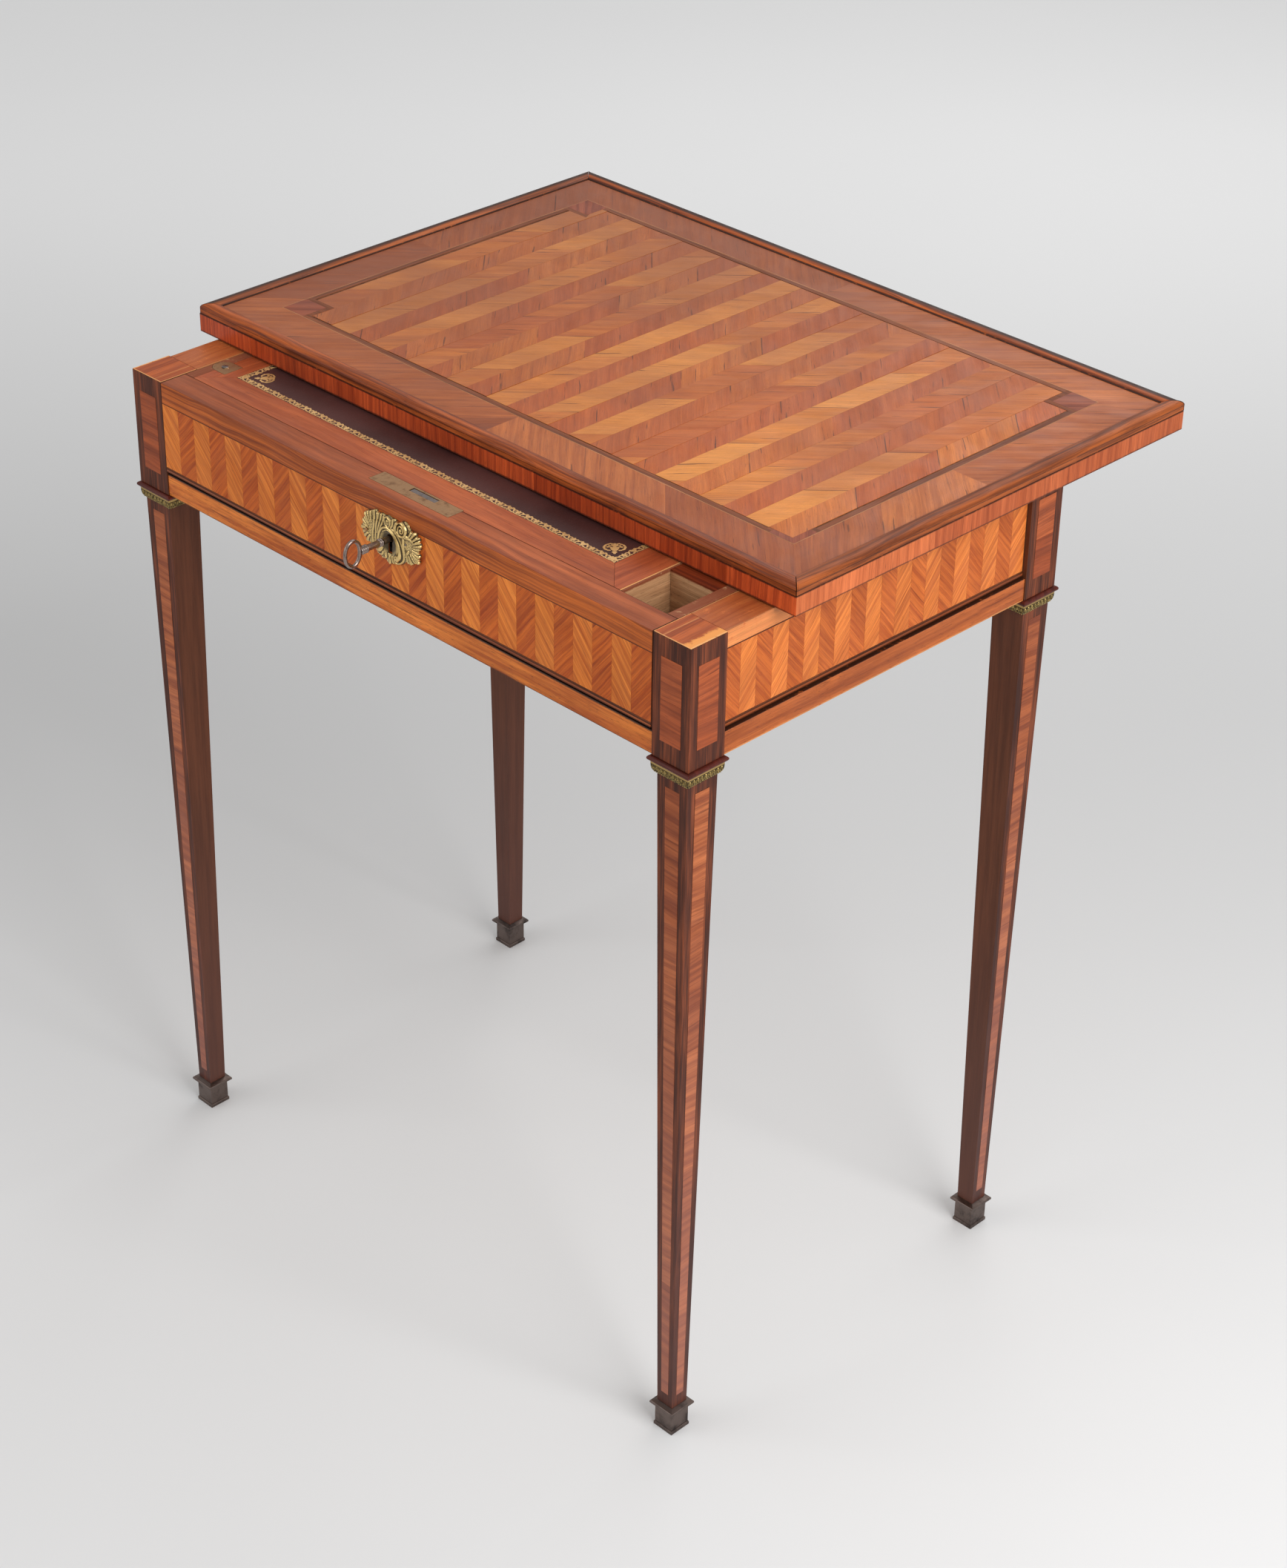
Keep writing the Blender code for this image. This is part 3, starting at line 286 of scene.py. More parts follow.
# %% Joints in a strip of veneer
def end_joints(place, tone, length):
    """Cuts a strip into parts that each have their own tone and stretch of the wood."""
    split = parts(place)
    steps = calc("+", calc("/", split[1], length), calc("*", split[2], 3.7))
    number = calc("+", calc("FLOOR", steps), calc("*", split[2], 91.7))
    chance = made("ShaderNodeTexWhiteNoise", {"W": number}, noise_dimensions="1D")
    tone = calc("+", tone, ramp(chance, 0.0, 1.0, -0.7, 0.62))
    edge = calc("*", calc("PINGPONG", calc("FRACT", steps), 0.5), length)
    worn = ramp(noise(place, 30), 0.45, 0.62)
    seam = calc("*", ramp(edge, 0.0002, 0.00065, 1.0, 0.0), worn)
    return vector_calc("+", place, vector(chance, 0.0, chance)), tone, seam


# %% Duller patches with painted sheen and shade on the top, and greyer legs towards the feet
def age_and_sheen(body, fade_and_sheen):
    """Duller patches at random, and painted sheen and shade that dull the wood more towards the
    left and the back of the room.
    """
    room = room_place()
    patches = ramp(noise(room, (6, 8, 6), 4, 0.6), 0.36, 0.66)
    across = parts(room)
    # Painted sheen and shade: the wood grows duller and greyer towards the left and the back.
    side = ramp(calc("*+", across[1], -0.35, across[0]), 0.24, -0.36)
    dulled = calc("*", calc("*+", patches, 0.55, calc("*", side, 0.7)), fade_and_sheen)
    dull = tinted(body, (178, 158, 150))
    return blend(dulled, body, blend(0.45, dull, (164, 98, 66)))


def palled(body, pall):
    """Paler and greyer towards the feet."""
    rise = parts(room_place())[2]
    return blend(ramp(rise, 0.05, 0.56, pall, 0.0), body, (168, 116, 104))


# %% The wood itself
GOLDEN, CRACK, SEAM = (238, 164, 80), (52, 26, 18), (60, 32, 22)


def wood(name, pale, dark, along, offset=0.0, figure=(4, 150, 150), contrast=1.0, gloss=0.42,
         pores=0.5, deep=None, joints=None, dim=(214, 198, 190), edges=(), fade_and_sheen=0.0,
         cracks=0.0, shine=0.2, pall=0.0):
    """A varnished wood. Pale and dark are its streaks, dim darkens the pieces of tone 0."""
    shader = new_finish(name, shine)
    place = vector_calc("+", grain_place(along), (offset, offset * 0.37, offset * 0.71))
    tone = seam = None
    if along == "veneer":
        tone = add("ShaderNodeAttribute", attribute_name="tone").outputs["Fac"]
    if joints:
        place, tone, seam = end_joints(place, tone, joints)
    sway = calc("*", noise(place, (9, 14, 14)), 0.012)
    place = vector_calc("+", place, vector(y=sway))
    streaks = noise(place, figure, detail=4, rough=0.62)
    fibres = noise(place, (40, 1500, 1500), detail=3, rough=0.6)
    clouds = noise(place, (9, 22, 22), detail=3)
    flecks = noise(place, (140, 2600, 2600), detail=1)
    half = 0.22 / contrast
    body = blend(ramp(streaks, 0.5 - half, 0.5 + half), dark, pale)
    if deep:
        vein = ramp(noise(place, tuple(2.3 * f for f in figure), 3), 0.60, 0.78)
        body = blend(calc("*", vein, 0.75), body, deep)
    if joints:
        body = blend(ramp(tone, 1.05, 1.6, 0.0, 0.5), body, GOLDEN)
    # Pieces of low tone are dimmed. In the parquetry, the tone alternates by strip as painted light
    # and shade of the grain, with a random spread.
    if tone:
        body = blend(ramp(tone, 0.0, 1.0), tinted(body, dim), body)
    thread = ramp(fibres, 0.25, 0.75, 0.80, 1.10)
    body = tinted(body, shade(thread, thread, thread))
    body = tinted(body, shade(*(
        ramp(clouds, 0.3, 0.7, lowest, 1.06) for lowest in (0.86, 0.82, 0.78))))
    pits = calc("*", ramp(flecks, 0.66, 0.74), pores)
    body = blend(pits, body, tinted(dark, (120, 105, 100)))
    if cracks:
        split_lines = ramp(noise(place, (20, 480, 1)), 0.675, 0.705)
        body = blend(calc("*", split_lines, cracks), body, CRACK)
    if fade_and_sheen:
        body = age_and_sheen(body, fade_and_sheen)
    if pall:
        body = palled(body, pall)
    if seam:
        body = blend(calc("*", seam, 0.75), body, SEAM)
    wire(edge_marks(body, edges), shader, "Base Color")
    rough = ramp(noise(place, (30, 60, 60), 3), 0.3, 0.7, gloss - 0.08, gloss + 0.1)
    wire(rough, shader, "Roughness")
    height = calc("-", calc("*", fibres, 0.4), pits)
    bumps(shader, height, 0.35, 0.00012)


# %% [markdown]
# The table's own woods: a striped golden-brown veneer, a redder cross-cut one, the plain
# rails, the dark capitals, bare oak inside the drawer and near-black painted shade for the keyhole.

# %% Marks that several woods share
# The dark brown edge mark is painted shade in gaps and creases: under the drawer, beside the drawer
# front, against the inner edges of the lips and along the cross-cut band. It also draws dark lines
# along the lips.
WORN, SHADE_AND_GRIME, RED = (232, 168, 104), (40, 22, 16), (120, 50, 28)
LIP_LINES = (("Z", 717.0, 0.5, SHADE_AND_GRIME, 0.9), ("Z", 720.8, 0.5, SHADE_AND_GRIME, 0.7))
OAK = dict(figure=(6, 260, 260), contrast=0.9, gloss=0.62, pores=0.8,
           edges=(("Z", 699.9, 2.2, RED, 0.85), ("X", 209.6, 0.9, WORN, 0.8)))
LINE = dict(figure=(5, 400, 1), gloss=0.5)
LIP = dict(figure=(6, 240, 240), contrast=1.2, deep=(48, 22, 14), gloss=0.44)

# %% The veneers
VENEERS = (
    ("parquetry", (217, 130, 56), (184, 98, 38), dict(
        figure=(5, 150, 1), contrast=0.8, deep=(146, 74, 34), joints=0.062,
        dim=(228, 200, 216), fade_and_sheen=0.72, cracks=0.8, shine=0.26)),
    ("front_parquetry", (240, 142, 56), (182, 86, 26), dict(
        figure=(8, 330, 1), contrast=0.9, deep=(134, 62, 28), dim=(222, 192, 164))),
    ("side_parquetry", (234, 136, 62), (190, 98, 44), dict(
        figure=(9, 420, 1), contrast=1.1, deep=(140, 62, 26), dim=(226, 206, 192))),
    ("banding", (204, 118, 58), (164, 84, 40), dict(
        figure=(6, 230, 1), contrast=0.9, deep=(120, 60, 34), joints=0.14, fade_and_sheen=0.8,
        cracks=0.7, shine=0.26)),
    ("band_wood", (212, 112, 42), (138, 63, 24), dict(
        figure=(4, 330, 1), contrast=1.3, deep=(80, 38, 20), gloss=0.4)),
    # The dark lines at the band's lower and upper edges are painted shade, in the gap over the case
    # and in the crease under the lip.
    ("cross_cut", (222, 98, 48), (160, 62, 32), dict(
        figure=(8, 300, 1), contrast=0.9, deep=(84, 30, 18), gloss=0.34,
        edges=(("Z", 702.0, 1.4, SHADE_AND_GRIME, 0.7), ("Z", 716.4, 0.8, SHADE_AND_GRIME, 0.8)))),
    ("cross_cut_side", (228, 126, 72), (184, 92, 48), dict(
        figure=(8, 200, 1), deep=(110, 50, 30), gloss=0.36,
        edges=(("Z", 702.0, 1.4, SHADE_AND_GRIME, 0.7), ("Z", 716.4, 0.6, SHADE_AND_GRIME, 0.7)))),
    ("inlay", (200, 116, 68), (148, 76, 44), dict(
        figure=(9, 150, 1), contrast=1.3, deep=(96, 42, 24), pall=0.45)),
    ("post_inlay", (188, 96, 50), (140, 66, 34), dict(
        figure=(9, 160, 1), contrast=1.1, deep=(96, 38, 20), gloss=0.36)),
    ("stringing", (152, 88, 54), (112, 62, 38), LINE),
    ("pale_line", (206, 150, 104), (170, 116, 78), LINE),
    ("dark_line", (122, 66, 34), (84, 44, 24), LINE),
    ("plum_square", (158, 84, 56), (122, 60, 42), dict(figure=(7, 260, 1))),
    ("cap_wood", (208, 108, 48), (146, 66, 30), dict(
        figure=(6, 200, 1), contrast=1.1, deep=(112, 50, 26), gloss=0.4,
        edges=((0, 296.0, 7.0, (240, 160, 80), 0.8), ("X", 299.8, 2.0, WORN, 0.9),
               ("X", 273.4, 1.0, WORN, 0.3), ("X", 265.2, 0.9, WORN, 0.8),
               ("Y", -228.4, 1.4, WORN, 0.85)))),
    ("red_facing", (170, 78, 38), (112, 46, 24), dict(
        figure=(6, 200, 1), contrast=1.2, deep=(60, 26, 16), gloss=0.4)))
for name, pale, dark, more in VENEERS:
    wood(name, pale, dark, "veneer", **more)
print("veneers:", len(VENEERS))

# %% The woods of the solid parts, with the axis of their grain
SOLIDS = (
    # The dark band at this rail's top is painted shade in the gap under the drawer. The fainter one
    # darkens its lower edge.
    ("rail_x", (226, 130, 52), (176, 86, 32), "X", dict(
        figure=(7, 210, 210), contrast=1.4, deep=(84, 34, 18), gloss=0.38, pores=0.9,
        edges=(("Z", 623.6, 2.4, SHADE_AND_GRIME, 1.0), ("Z", 605.0, 1.0, SHADE_AND_GRIME, 0.6)))),
    # The dark line at this rail's top is painted shade in the gap under the bead.
    ("rail_y", (190, 102, 48), (150, 74, 34), "Y", dict(
        offset=0.4, figure=(5, 190, 190), contrast=1.1, deep=(96, 42, 22), pores=0.8,
        edges=(("Z", 623.4, 0.9, SHADE_AND_GRIME, 0.95), ("Z", 605.2, 1.4, WORN, 0.4)))),
    # The brown mark at the level of this rail's top darkens its upward face in ragged patches:
    # painted shade.
    ("top_rail_y", (232, 134, 72), (190, 94, 48), "Y", dict(
        offset=0.7, figure=(5, 200, 200), deep=(120, 56, 30), gloss=0.4,
        edges=(("X", 298.4, 2.6, WORN, 0.3), ("X", 265.2, 1.0, WORN, 0.8),
               ("Z", 700.5, 0.8, (112, 50, 24), 0.5)))),
    # The dark lines along the back edge and at the ends of the drawer front are painted shade in
    # the gaps beside it.
    ("front_edge", (186, 100, 58), (136, 68, 42), "X", dict(
        offset=0.8, figure=(5, 150, 150), contrast=1.1, deep=(92, 44, 28), gloss=0.44,
        shine=0.18, fade_and_sheen=0.7,
        edges=(("Y", -205.1, 0.9, SHADE_AND_GRIME, 0.7), ("X", 264.3, 0.6, (82, 42, 26), 1.0)))),
    ("flap_wood_x", (186, 98, 56), (150, 72, 42), "X", dict(
        offset=1.2, figure=(6, 120, 120), deep=(112, 54, 36), gloss=0.36)),
    ("flap_wood_y", (184, 94, 54), (146, 66, 36), "Y", dict(
        offset=1.7, figure=(6, 120, 120), deep=(96, 42, 24), gloss=0.36)),
    # The dark mark over the back lip's crest and outer side is painted shade on the side that faces
    # away. The dark lines at the inner edges of both lips are painted shade in the crease against
    # the border.
    ("lip_wood_x", (184, 92, 38), (104, 46, 22), "X", dict(
        LIP, offset=2.1, edges=(("Y", 269.4, 5.8, (52, 27, 17), 1.0), ("Y", 260.6, 1.2, SHADE_AND_GRIME, 0.9),
                                ("Y", -135.6, 1.0, SHADE_AND_GRIME, 0.9), *LIP_LINES))),
    # The dark mark over the left lip's crest and outer side is painted shade on the side that faces
    # away. The dark line at the inner edges is painted shade in the crease against the border.
    ("lip_wood_y", (176, 92, 40), (104, 50, 24), "Y", dict(
        LIP, offset=2.6, edges=((0, -314.4, 5.8, (60, 32, 20), 1.0), ("X", 305.6, 1.0, SHADE_AND_GRIME, 0.9),
                                *LIP_LINES))),
    ("capital_wood", (98, 40, 30), (66, 27, 20), "X", dict(
        offset=3.1, figure=(9, 200, 200), gloss=0.34)),
    ("oak_x", (216, 170, 126), (170, 124, 86), "X", dict(OAK, offset=0.2)),
    ("oak_y", (216, 170, 126), (168, 122, 84), "Y", dict(OAK, offset=0.9)),
    # A near-black wood that paints the shade inside the keyhole.
    ("soot", (28, 17, 13), (18, 11, 9), "X", dict(gloss=0.8, shine=0.05)),
    ("carcass", (124, 76, 46), (88, 50, 30), "X", dict(
        offset=1.4, figure=(5, 180, 180), gloss=0.6)))
for name, pale, dark, along, more in SOLIDS:
    wood(name, pale, dark, along, **more)
print("woods made:", len(looks))

# %% [markdown]
# ## Veneer laid by rule
# The parquetry is a row of equal strips whose grain leans left and right by turns. It could
# be drawn in a texture, but real strips are separate pieces with a hair of glue between
# them, and no two lie quite level. Geometry Nodes set a thin slip on each point of a line,
# tilt it a little, and store where each point lies in its own grain.

# %% Open and close a tree of Geometry Nodes
KINDS = {float: "Float", int: "Int", bool: "Bool", tuple: "Vector"}


def new_rule(name, **sockets):
    """An empty tree of Geometry Nodes. Each input is named, with its value or else its kind."""
    Open.tree = bpy.data.node_groups.new(name, "GeometryNodeTree")
    face = Open.tree.interface
    face.new_socket("Geometry", in_out="OUTPUT", socket_type="NodeSocketGeometry")
    for title, value in sockets.items():
        kind = value if isinstance(value, str) else KINDS[type(value)]
        socket = face.new_socket(title, in_out="INPUT", socket_type="NodeSocket" + kind)
        if kind != value:
            socket.default_value = value
    return add("NodeGroupInput").outputs


def real(shape):
    """Turns copies into geometry of their own."""
    return made("GeometryNodeRealizeInstances", {0: shape})


def end_rule(shape, finish):
    """Closes a tree: copies become real, and the mesh takes its material."""
    dressed = add("GeometryNodeSetMaterial", {0: real(shape), "Material": finish})
    add("NodeGroupOutput", {0: dressed.outputs[0]})
    return Open.tree


def store(shape, name, value, kind="FLOAT"):
    """Keeps a value on each point under a name."""
    node = add("GeometryNodeStoreNamedAttribute", {0: shape, "Name": name}, data_type=kind)
    Open.tree.links.new(value, [s for s in node.inputs if s.name == "Value" and s.enabled][0])
    return node.outputs[0]


def moved(shape, **how):
    """A shape after a Translation or a Scale."""
    return made("GeometryNodeTransform", {0: shape, **how})


def spread(length, count, shape, level=0.0, out=0.0, turn=(0.0, 0.0, 0.0)):
    """Copies of a shape along X, one in the middle of each of the equal parts."""
    pitch = calc("/", length, count)
    start = calc("*", calc("-", pitch, length), 0.5)
    line = made("GeometryNodeMeshLine", {
        "Count": count, "Start Location": vector(start, level, out), "Offset": vector(pitch)})
    return made("GeometryNodeInstanceOnPoints", {
        "Points": line, "Instance": shape, "Rotation": turn})


# %% The tree that lays a row of strips
TILT = (0.0016, 0.0018, 0.0)
STRIP_LAYER, SEED_LAYER = 0.731, 5.3


def strip_rule():
    """Strips side by side along X, each as long as Width along Y, rising from Z 0."""
    given = new_rule(
        "strip_rule", Length=0.5, Width=0.3, Strips=20, Joint=0.00012, Thickness=0.0003,
        Slant=0.8, Turned=1.0, First=1.0, Spread=0.2, Taper=0.0, Pierced=False, Hole="Object",
        Seed=1, Wood="Material")
    length, thickness, slant, seed = (
        given[title] for title in ("Length", "Thickness", "Slant", "Seed"))
    pitch = calc("/", length, given["Strips"])
    size = vector(calc("-", pitch, given["Joint"]), given["Width"], thickness)
    slip = add("GeometryNodeMeshCube", {"Size": size}).outputs["Mesh"]
    slip = moved(slip, Translation=vector(z=calc("*", thickness, 0.5)))
    tilt = made("FunctionNodeRandomValue", {
        0: tuple(-angle for angle in TILT), 1: TILT, "Seed": seed}, data_type="FLOAT_VECTOR")
    whole = real(spread(length, given["Strips"], slip, turn=tilt))
    hole = add("GeometryNodeObjectInfo", {"Object": given["Hole"]}).outputs["Geometry"]
    cut = made("GeometryNodeMeshBoolean", {"Mesh 1": whole, "Mesh 2": hole},
               operation="DIFFERENCE")
    shape = made("GeometryNodeSwitch", {0: given["Pierced"], "False": whole, "True": cut},
                 input_type="GEOMETRY")
    x, y, z = parts(made("GeometryNodeInputPosition"))
    strip = calc("FLOOR", calc("/", calc("*+", length, 0.5, x), pitch))
    odd = calc("MODULO", strip, 2.0)
    lean = calc("*", given["Turned"], calc("*+", odd, -2.0, 1.0))
    sine, cosine = calc("*", calc("SINE", slant), lean), calc("COSINE", slant)
    along = calc("*+", x, sine, calc("*", y, cosine))
    across = calc("*+", x, cosine, calc("*", y, calc("*", sine, -1.0)))
    layer = calc("*+", strip, STRIP_LAYER, calc("*", seed, SEED_LAYER))
    shape = store(shape, "grain", vector(along, across, layer), "FLOAT_VECTOR")
    chance = add("FunctionNodeRandomValue", {2: -1.0, 3: 1.0, "ID": strip, "Seed": seed},
                 data_type="FLOAT").outputs[1]
    # With First at 0 or 1, every other strip gets a higher tone: painted light and shade of grain
    # that leans by turns. Spread adds a random part.
    light = calc("ABSOLUTE", calc("-", given["First"], odd))
    shape = store(shape, "tone", calc("*+", chance, given["Spread"], light))
    share = calc("*+", calc("/", x, length), given["Taper"], 1.0)
    place = vector(x, calc("*", y, share), z)
    shape = made("GeometryNodeSetPosition", {0: shape, "Position": place})
    return end_rule(shape, given["Wood"])


strips = strip_rule()
print("strip tree:", len(strips.nodes), "nodes")

# %% [markdown]
# A finished piece has its place in its mesh. These helpers turn a tree's result into a
# plain mesh, or close a shape from rings of points, lay it on a face that is given by a
# centre and two directions, and let it ride on the part of the table that it is glued to.

# %% Grow, settle and lay a piece
UP = (0, 0, 1)
FLAT = ((1, 0, 0), (0, 1, 0))


def settle(name, mesh, body, finish=None):
    """Makes an object from a mesh in its place, riding on a body."""
    mesh.name = name
    if finish:
        mesh.materials.clear()
        mesh.materials.append(looks[finish])
    piece = bpy.data.objects.new(name, mesh)
    bpy.context.scene.collection.objects.link(piece)
    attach(piece, body)
    return piece


def grow(name, tree, body, slot, start=None, **sizes):
    """Runs a tree, on an empty mesh or a given one, and returns a plain piece."""
    start = start or bpy.data.meshes.new(name + "_host")
    host = bpy.data.objects.new(name + "_host", start)
    bpy.context.scene.collection.objects.link(host)
    modifier = host.modifiers.new(name, "NODES")
    modifier.node_group = tree
    titles = {item.name: item.identifier for item in tree.interface.items_tree
              if item.in_out == "INPUT"}
    for title, value in sizes.items():
        modifier[titles[title]] = value
    bpy.context.view_layer.update()
    seen = host.evaluated_get(bpy.context.evaluated_depsgraph_get())
    mesh = bpy.data.meshes.new_from_object(seen)
    bpy.data.objects.remove(host)
    return settle(name, mesh, body)


def lay(piece, centre, across, upward):
    """Moves a flat piece's mesh on to a face. Its X goes across, and its Y goes upward."""
    across, upward = Vector(across), Vector(upward)
    turned = Matrix((across, upward, across.cross(upward))).transposed().to_4x4()
    piece.data.transform(Matrix.Translation(Vector(centre)) @ turned)
    piece.data.update()
    return piece


def lay_strips(name, finish, body, place, length, width, count, **rule):
    """A row of strips on a face. Its place is (centre, across, upward)."""
    row = grow(name, strips, body, "tulipwood", Length=length, Width=width, Strips=count,
               Wood=looks[finish], **rule)
    return lay(row, *place)


# %% Close a shape from rings of points
def skin(shape, rings, closed=False):
    """Joins rings of points into a surface, with its ends closed or joined to each other."""
    rows = [[shape.verts.new(point) for point in ring] for ring in rings]
    pairs = list(zip(rows, rows[1:]))
    if closed:
        pairs.append((rows[-1], rows[0]))
    for first, second in pairs:
        for here in range(len(first)):
            there = (here + 1) % len(first)
            shape.faces.new((first[here], first[there], second[there], second[here]))
    if not closed:
        shape.faces.new(rows[0][::-1])
        shape.faces.new(rows[-1])
    return rows


def ring_round(centre, first, second, sizes, count):
    """Points round an oval that lies in the plane of two directions."""
    angles = [2 * math.pi * step / count for step in range(count)]
    return [centre + first * sizes[0] * math.cos(a) + second * sizes[1] * math.sin(a)
            for a in angles]


def as_mesh(name, shape):
    """Turns a shape into a mesh whose faces look outward."""
    bmesh.ops.recalc_face_normals(shape, faces=shape.faces)
    mesh = bpy.data.meshes.new(name)
    shape.to_mesh(mesh)
    shape.free()
    return mesh


# %% [markdown]
# ## Veneer cut one by one
# Borders, mitres, lines and squares are cut one by one. Each is given by its corners on the
# flat face, the angle of its grain and how light it is. All the pieces of a face are one
# mesh of thin prisms.

# %% Cut pieces of veneer
LAYER = 1.37


def cut_veneer(name, pieces, finish, body, place, thickness=0.3):
    """Each piece is (corners anticlockwise in millimetres, grain angle in degrees, tone)."""
    shape = bmesh.new()
    grain_layer = shape.verts.layers.float_vector.new("grain")
    tone_layer = shape.verts.layers.float.new("tone")
    for number, (corners, angle, tone) in enumerate(pieces):
        low, high = skin(shape, [[(x * MM, y * MM, level * MM) for x, y in corners]
                                 for level in (0.0, thickness)])
        turn = math.radians(angle)
        for point in low + high:
            x, y, _ = point.co
            along = x * math.cos(turn) + y * math.sin(turn)
            over = y * math.cos(turn) - x * math.sin(turn)
            point[grain_layer] = (along, over, LAYER * number + 0.5)
            point[tone_layer] = tone
    return lay(settle(name, as_mesh(name, shape), body, finish), *place)


def patch(left, low, wide, high):
    """A rectangle's corners, from its left and lower edges and its two sizes."""
    return [(left, low), (left + wide, low), (left + wide, low + high), (left, low + high)]


# %% [markdown]
# ## The top
# The field is 24 strips that run from front to back. Round it runs a string of greyish
# wood that steps in round a square at each corner, and outside the string a border of eight
# pieces, mitred at the corners and joined at the middle of each side.

# %% The field of the top
field_low, field_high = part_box("top_board")
top_level = field_high.z
middle_y = 63.25 * MM
at_top = ((0, middle_y, top_level), *FLAT)
FIELD_X, FIELD_Y, FIELD_SHIFT = 530.7 * MM, 318 * MM, 0.35 * MM
top_field = lay_strips("top_field", "parquetry", "top",
                       ((FIELD_SHIFT, middle_y, top_level), *FLAT), FIELD_X, FIELD_Y, 24,
                       Slant=math.radians(45), Spread=0.22, Seed=3)
print("top field:", len(top_field.data.polygons), "faces")

# %% The border of the top, from the lips in to the string
LIP_X, LIP_LOW, LIP_HIGH = 305.2, -198.5, 197.0
RING_X, RING_Y = 272.0, 164.75
SEAM_X = -1.7
GRAINS = (45, 135, 135, 45, 45, 135, 135, 45)
TONES = (0.45, 0.35, 0.55, 0.75, 0.6, 0.5, 0.45, 0.5)


def border_points(wide, low, high):
    """Points round a rectangle: its corners and the joints in its sides."""
    return [(-wide, low), (SEAM_X, low), (wide, low), (wide, 0), (wide, high), (SEAM_X, high),
            (-wide, high), (-wide, 0)]


outer, inner = border_points(LIP_X, LIP_LOW, LIP_HIGH), border_points(RING_X, -RING_Y, RING_Y)
border = []
for here in range(8):
    there = (here + 1) % 8
    corners = (outer[here], outer[there], inner[there], inner[here])
    border.append((corners, GRAINS[here], TONES[here]))
cut_veneer("top_border", border, "banding", "top", at_top)
print("pieces of the border:", len(border))

# %% The string, its steps and the squares
STRING_WIDE, STEP_WIDE, SQUARE, PALE_WIDE = 4.8, 4.6, 23.5, 0.6
CORNERS = ((-1, -1), (-1, 1), (1, -1), (1, 1))


def line_round(wide, deep, thick):
    """Four lines round a rectangle that is given by its half sizes."""
    pieces = []
    for low, left in ((-deep, -wide), (deep - thick, wide - thick)):
        pieces.append((patch(-wide, low, 2 * wide, thick), 0, 0.6))
        pieces.append((patch(left, thick - deep, thick, 2 * (deep - thick)), 90, 0.5))
    return pieces


def corner_patch(side_x, side_y, size):
    """A square in a corner of the string."""
    left = RING_X - size if side_x > 0 else -RING_X
    low = RING_Y - size if side_y > 0 else -RING_Y
    return patch(left, low, size, size)


string = line_round(RING_X, RING_Y, STRING_WIDE)
pale = line_round(RING_X + PALE_WIDE, RING_Y + PALE_WIDE, PALE_WIDE)
steps = [(corner_patch(*corner, SQUARE + STEP_WIDE), 0, 0.55) for corner in CORNERS]
squares = [(corner_patch(x, y, SQUARE), 45 * x * y, 0.8) for x, y in CORNERS]
cut_veneer("top_string", string, "stringing", "top", at_top, 0.33)
cut_veneer("top_string_steps", steps, "stringing", "top", at_top, 0.36)
cut_veneer("top_squares", squares, "plum_square", "top", at_top, 0.40)
cut_veneer("top_pale_line", pale, "pale_line", "top", at_top, 0.34)
print("lines, steps and squares:", len(string) + len(pale), len(steps), len(squares))

# %% Glue in the mitres of the lips
lip_low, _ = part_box("lip_front")
LIP_WIDE, CREST, SHOULDER, INNER, LIP_TALL = 12.5, 5.25, 4.7, 5.8, 8.1
GLUE_HALF, SUNK, FIRST, LAST = 0.32, 0.12, 0.15, 12.3
HALF_X, HALF_Y = 318, 210.5


def lip_height(place):
    """The lip's height at a distance from its outer edge, in millimetres."""
    share = (CREST - place) / CREST if place < CREST else (place - CREST) / (LIP_WIDE - CREST)
    base = SHOULDER if place < CREST else INNER
    return base + (LIP_TALL - base) * math.sqrt(max(0.0, 1 - share * share))


shape = bmesh.new()
profile = [(place, lip_height(place) - SUNK) for place in np.linspace(FIRST, LAST, 14)]
for side_x, side_y in CORNERS:
    skin(shape, [[(side_x * (HALF_X - place - shift * side_y) * MM,
                   middle_y + side_y * (HALF_Y - place + shift * side_y) * MM,
                   lip_low.z + tall * MM) for place, tall in [(FIRST, 0.1), *profile, (LAST, 0.1)]]
                 for shift in (-GLUE_HALF, GLUE_HALF)])
settle("lip_mitres", as_mesh("lip_mitres", shape), "top", "lip_wood_x")

# %% The cross-cut band round the top's edge
SIDES = {"front": (0, -1), "right": (1, 0), "back": (0, 1), "left": (-1, 0)}


def sideways(side):
    """The direction to the right, as one looks at a side from outside."""
    x, y = SIDES[side]
    return (-y, x, 0)


band_low, band_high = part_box("top_board")[0].z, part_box("lip_front")[0].z
board_middle = (field_low + field_high) / 2
board_half = (field_high - field_low) / 2
for number, (side, (out_x, out_y)) in enumerate(SIDES.items()):
    length = 421 if out_x else 636
    centre = (board_middle.x + out_x * field_high.x, board_middle.y + out_y * board_half.y,
              (band_low + band_high) / 2)
    lay_strips("edge_band_" + side, "cross_cut_side" if side in ("right", "back") else "cross_cut",
               "top", (centre, sideways(side), UP), length * MM, band_high - band_low - 0.2 * MM,
               length // 62, Slant=0.0, Turned=0.0, First=0.5, Spread=0.45, Seed=20 + number)
print("edge bands:", len(SIDES))

# %% [markdown]
# ## The case and the drawer front
# The sides, the back and the drawer front have the same parquetry with upright strips, and
# a plain band, a dark line and a bead along the long edges. The key turns in a hole that is
# cut through the drawer's strips.

# %% The keyhole in the parquetry
front_low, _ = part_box("drawer_front")
_, panel_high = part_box("side_panel_right")
_, back_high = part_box("back_panel")
key_low, key_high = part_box("key")
KEY_LEVEL, KEYHOLE_RADIUS, SLOT_HALF, SLOT_END = 668.5, 2.95, 1.9, 657.2


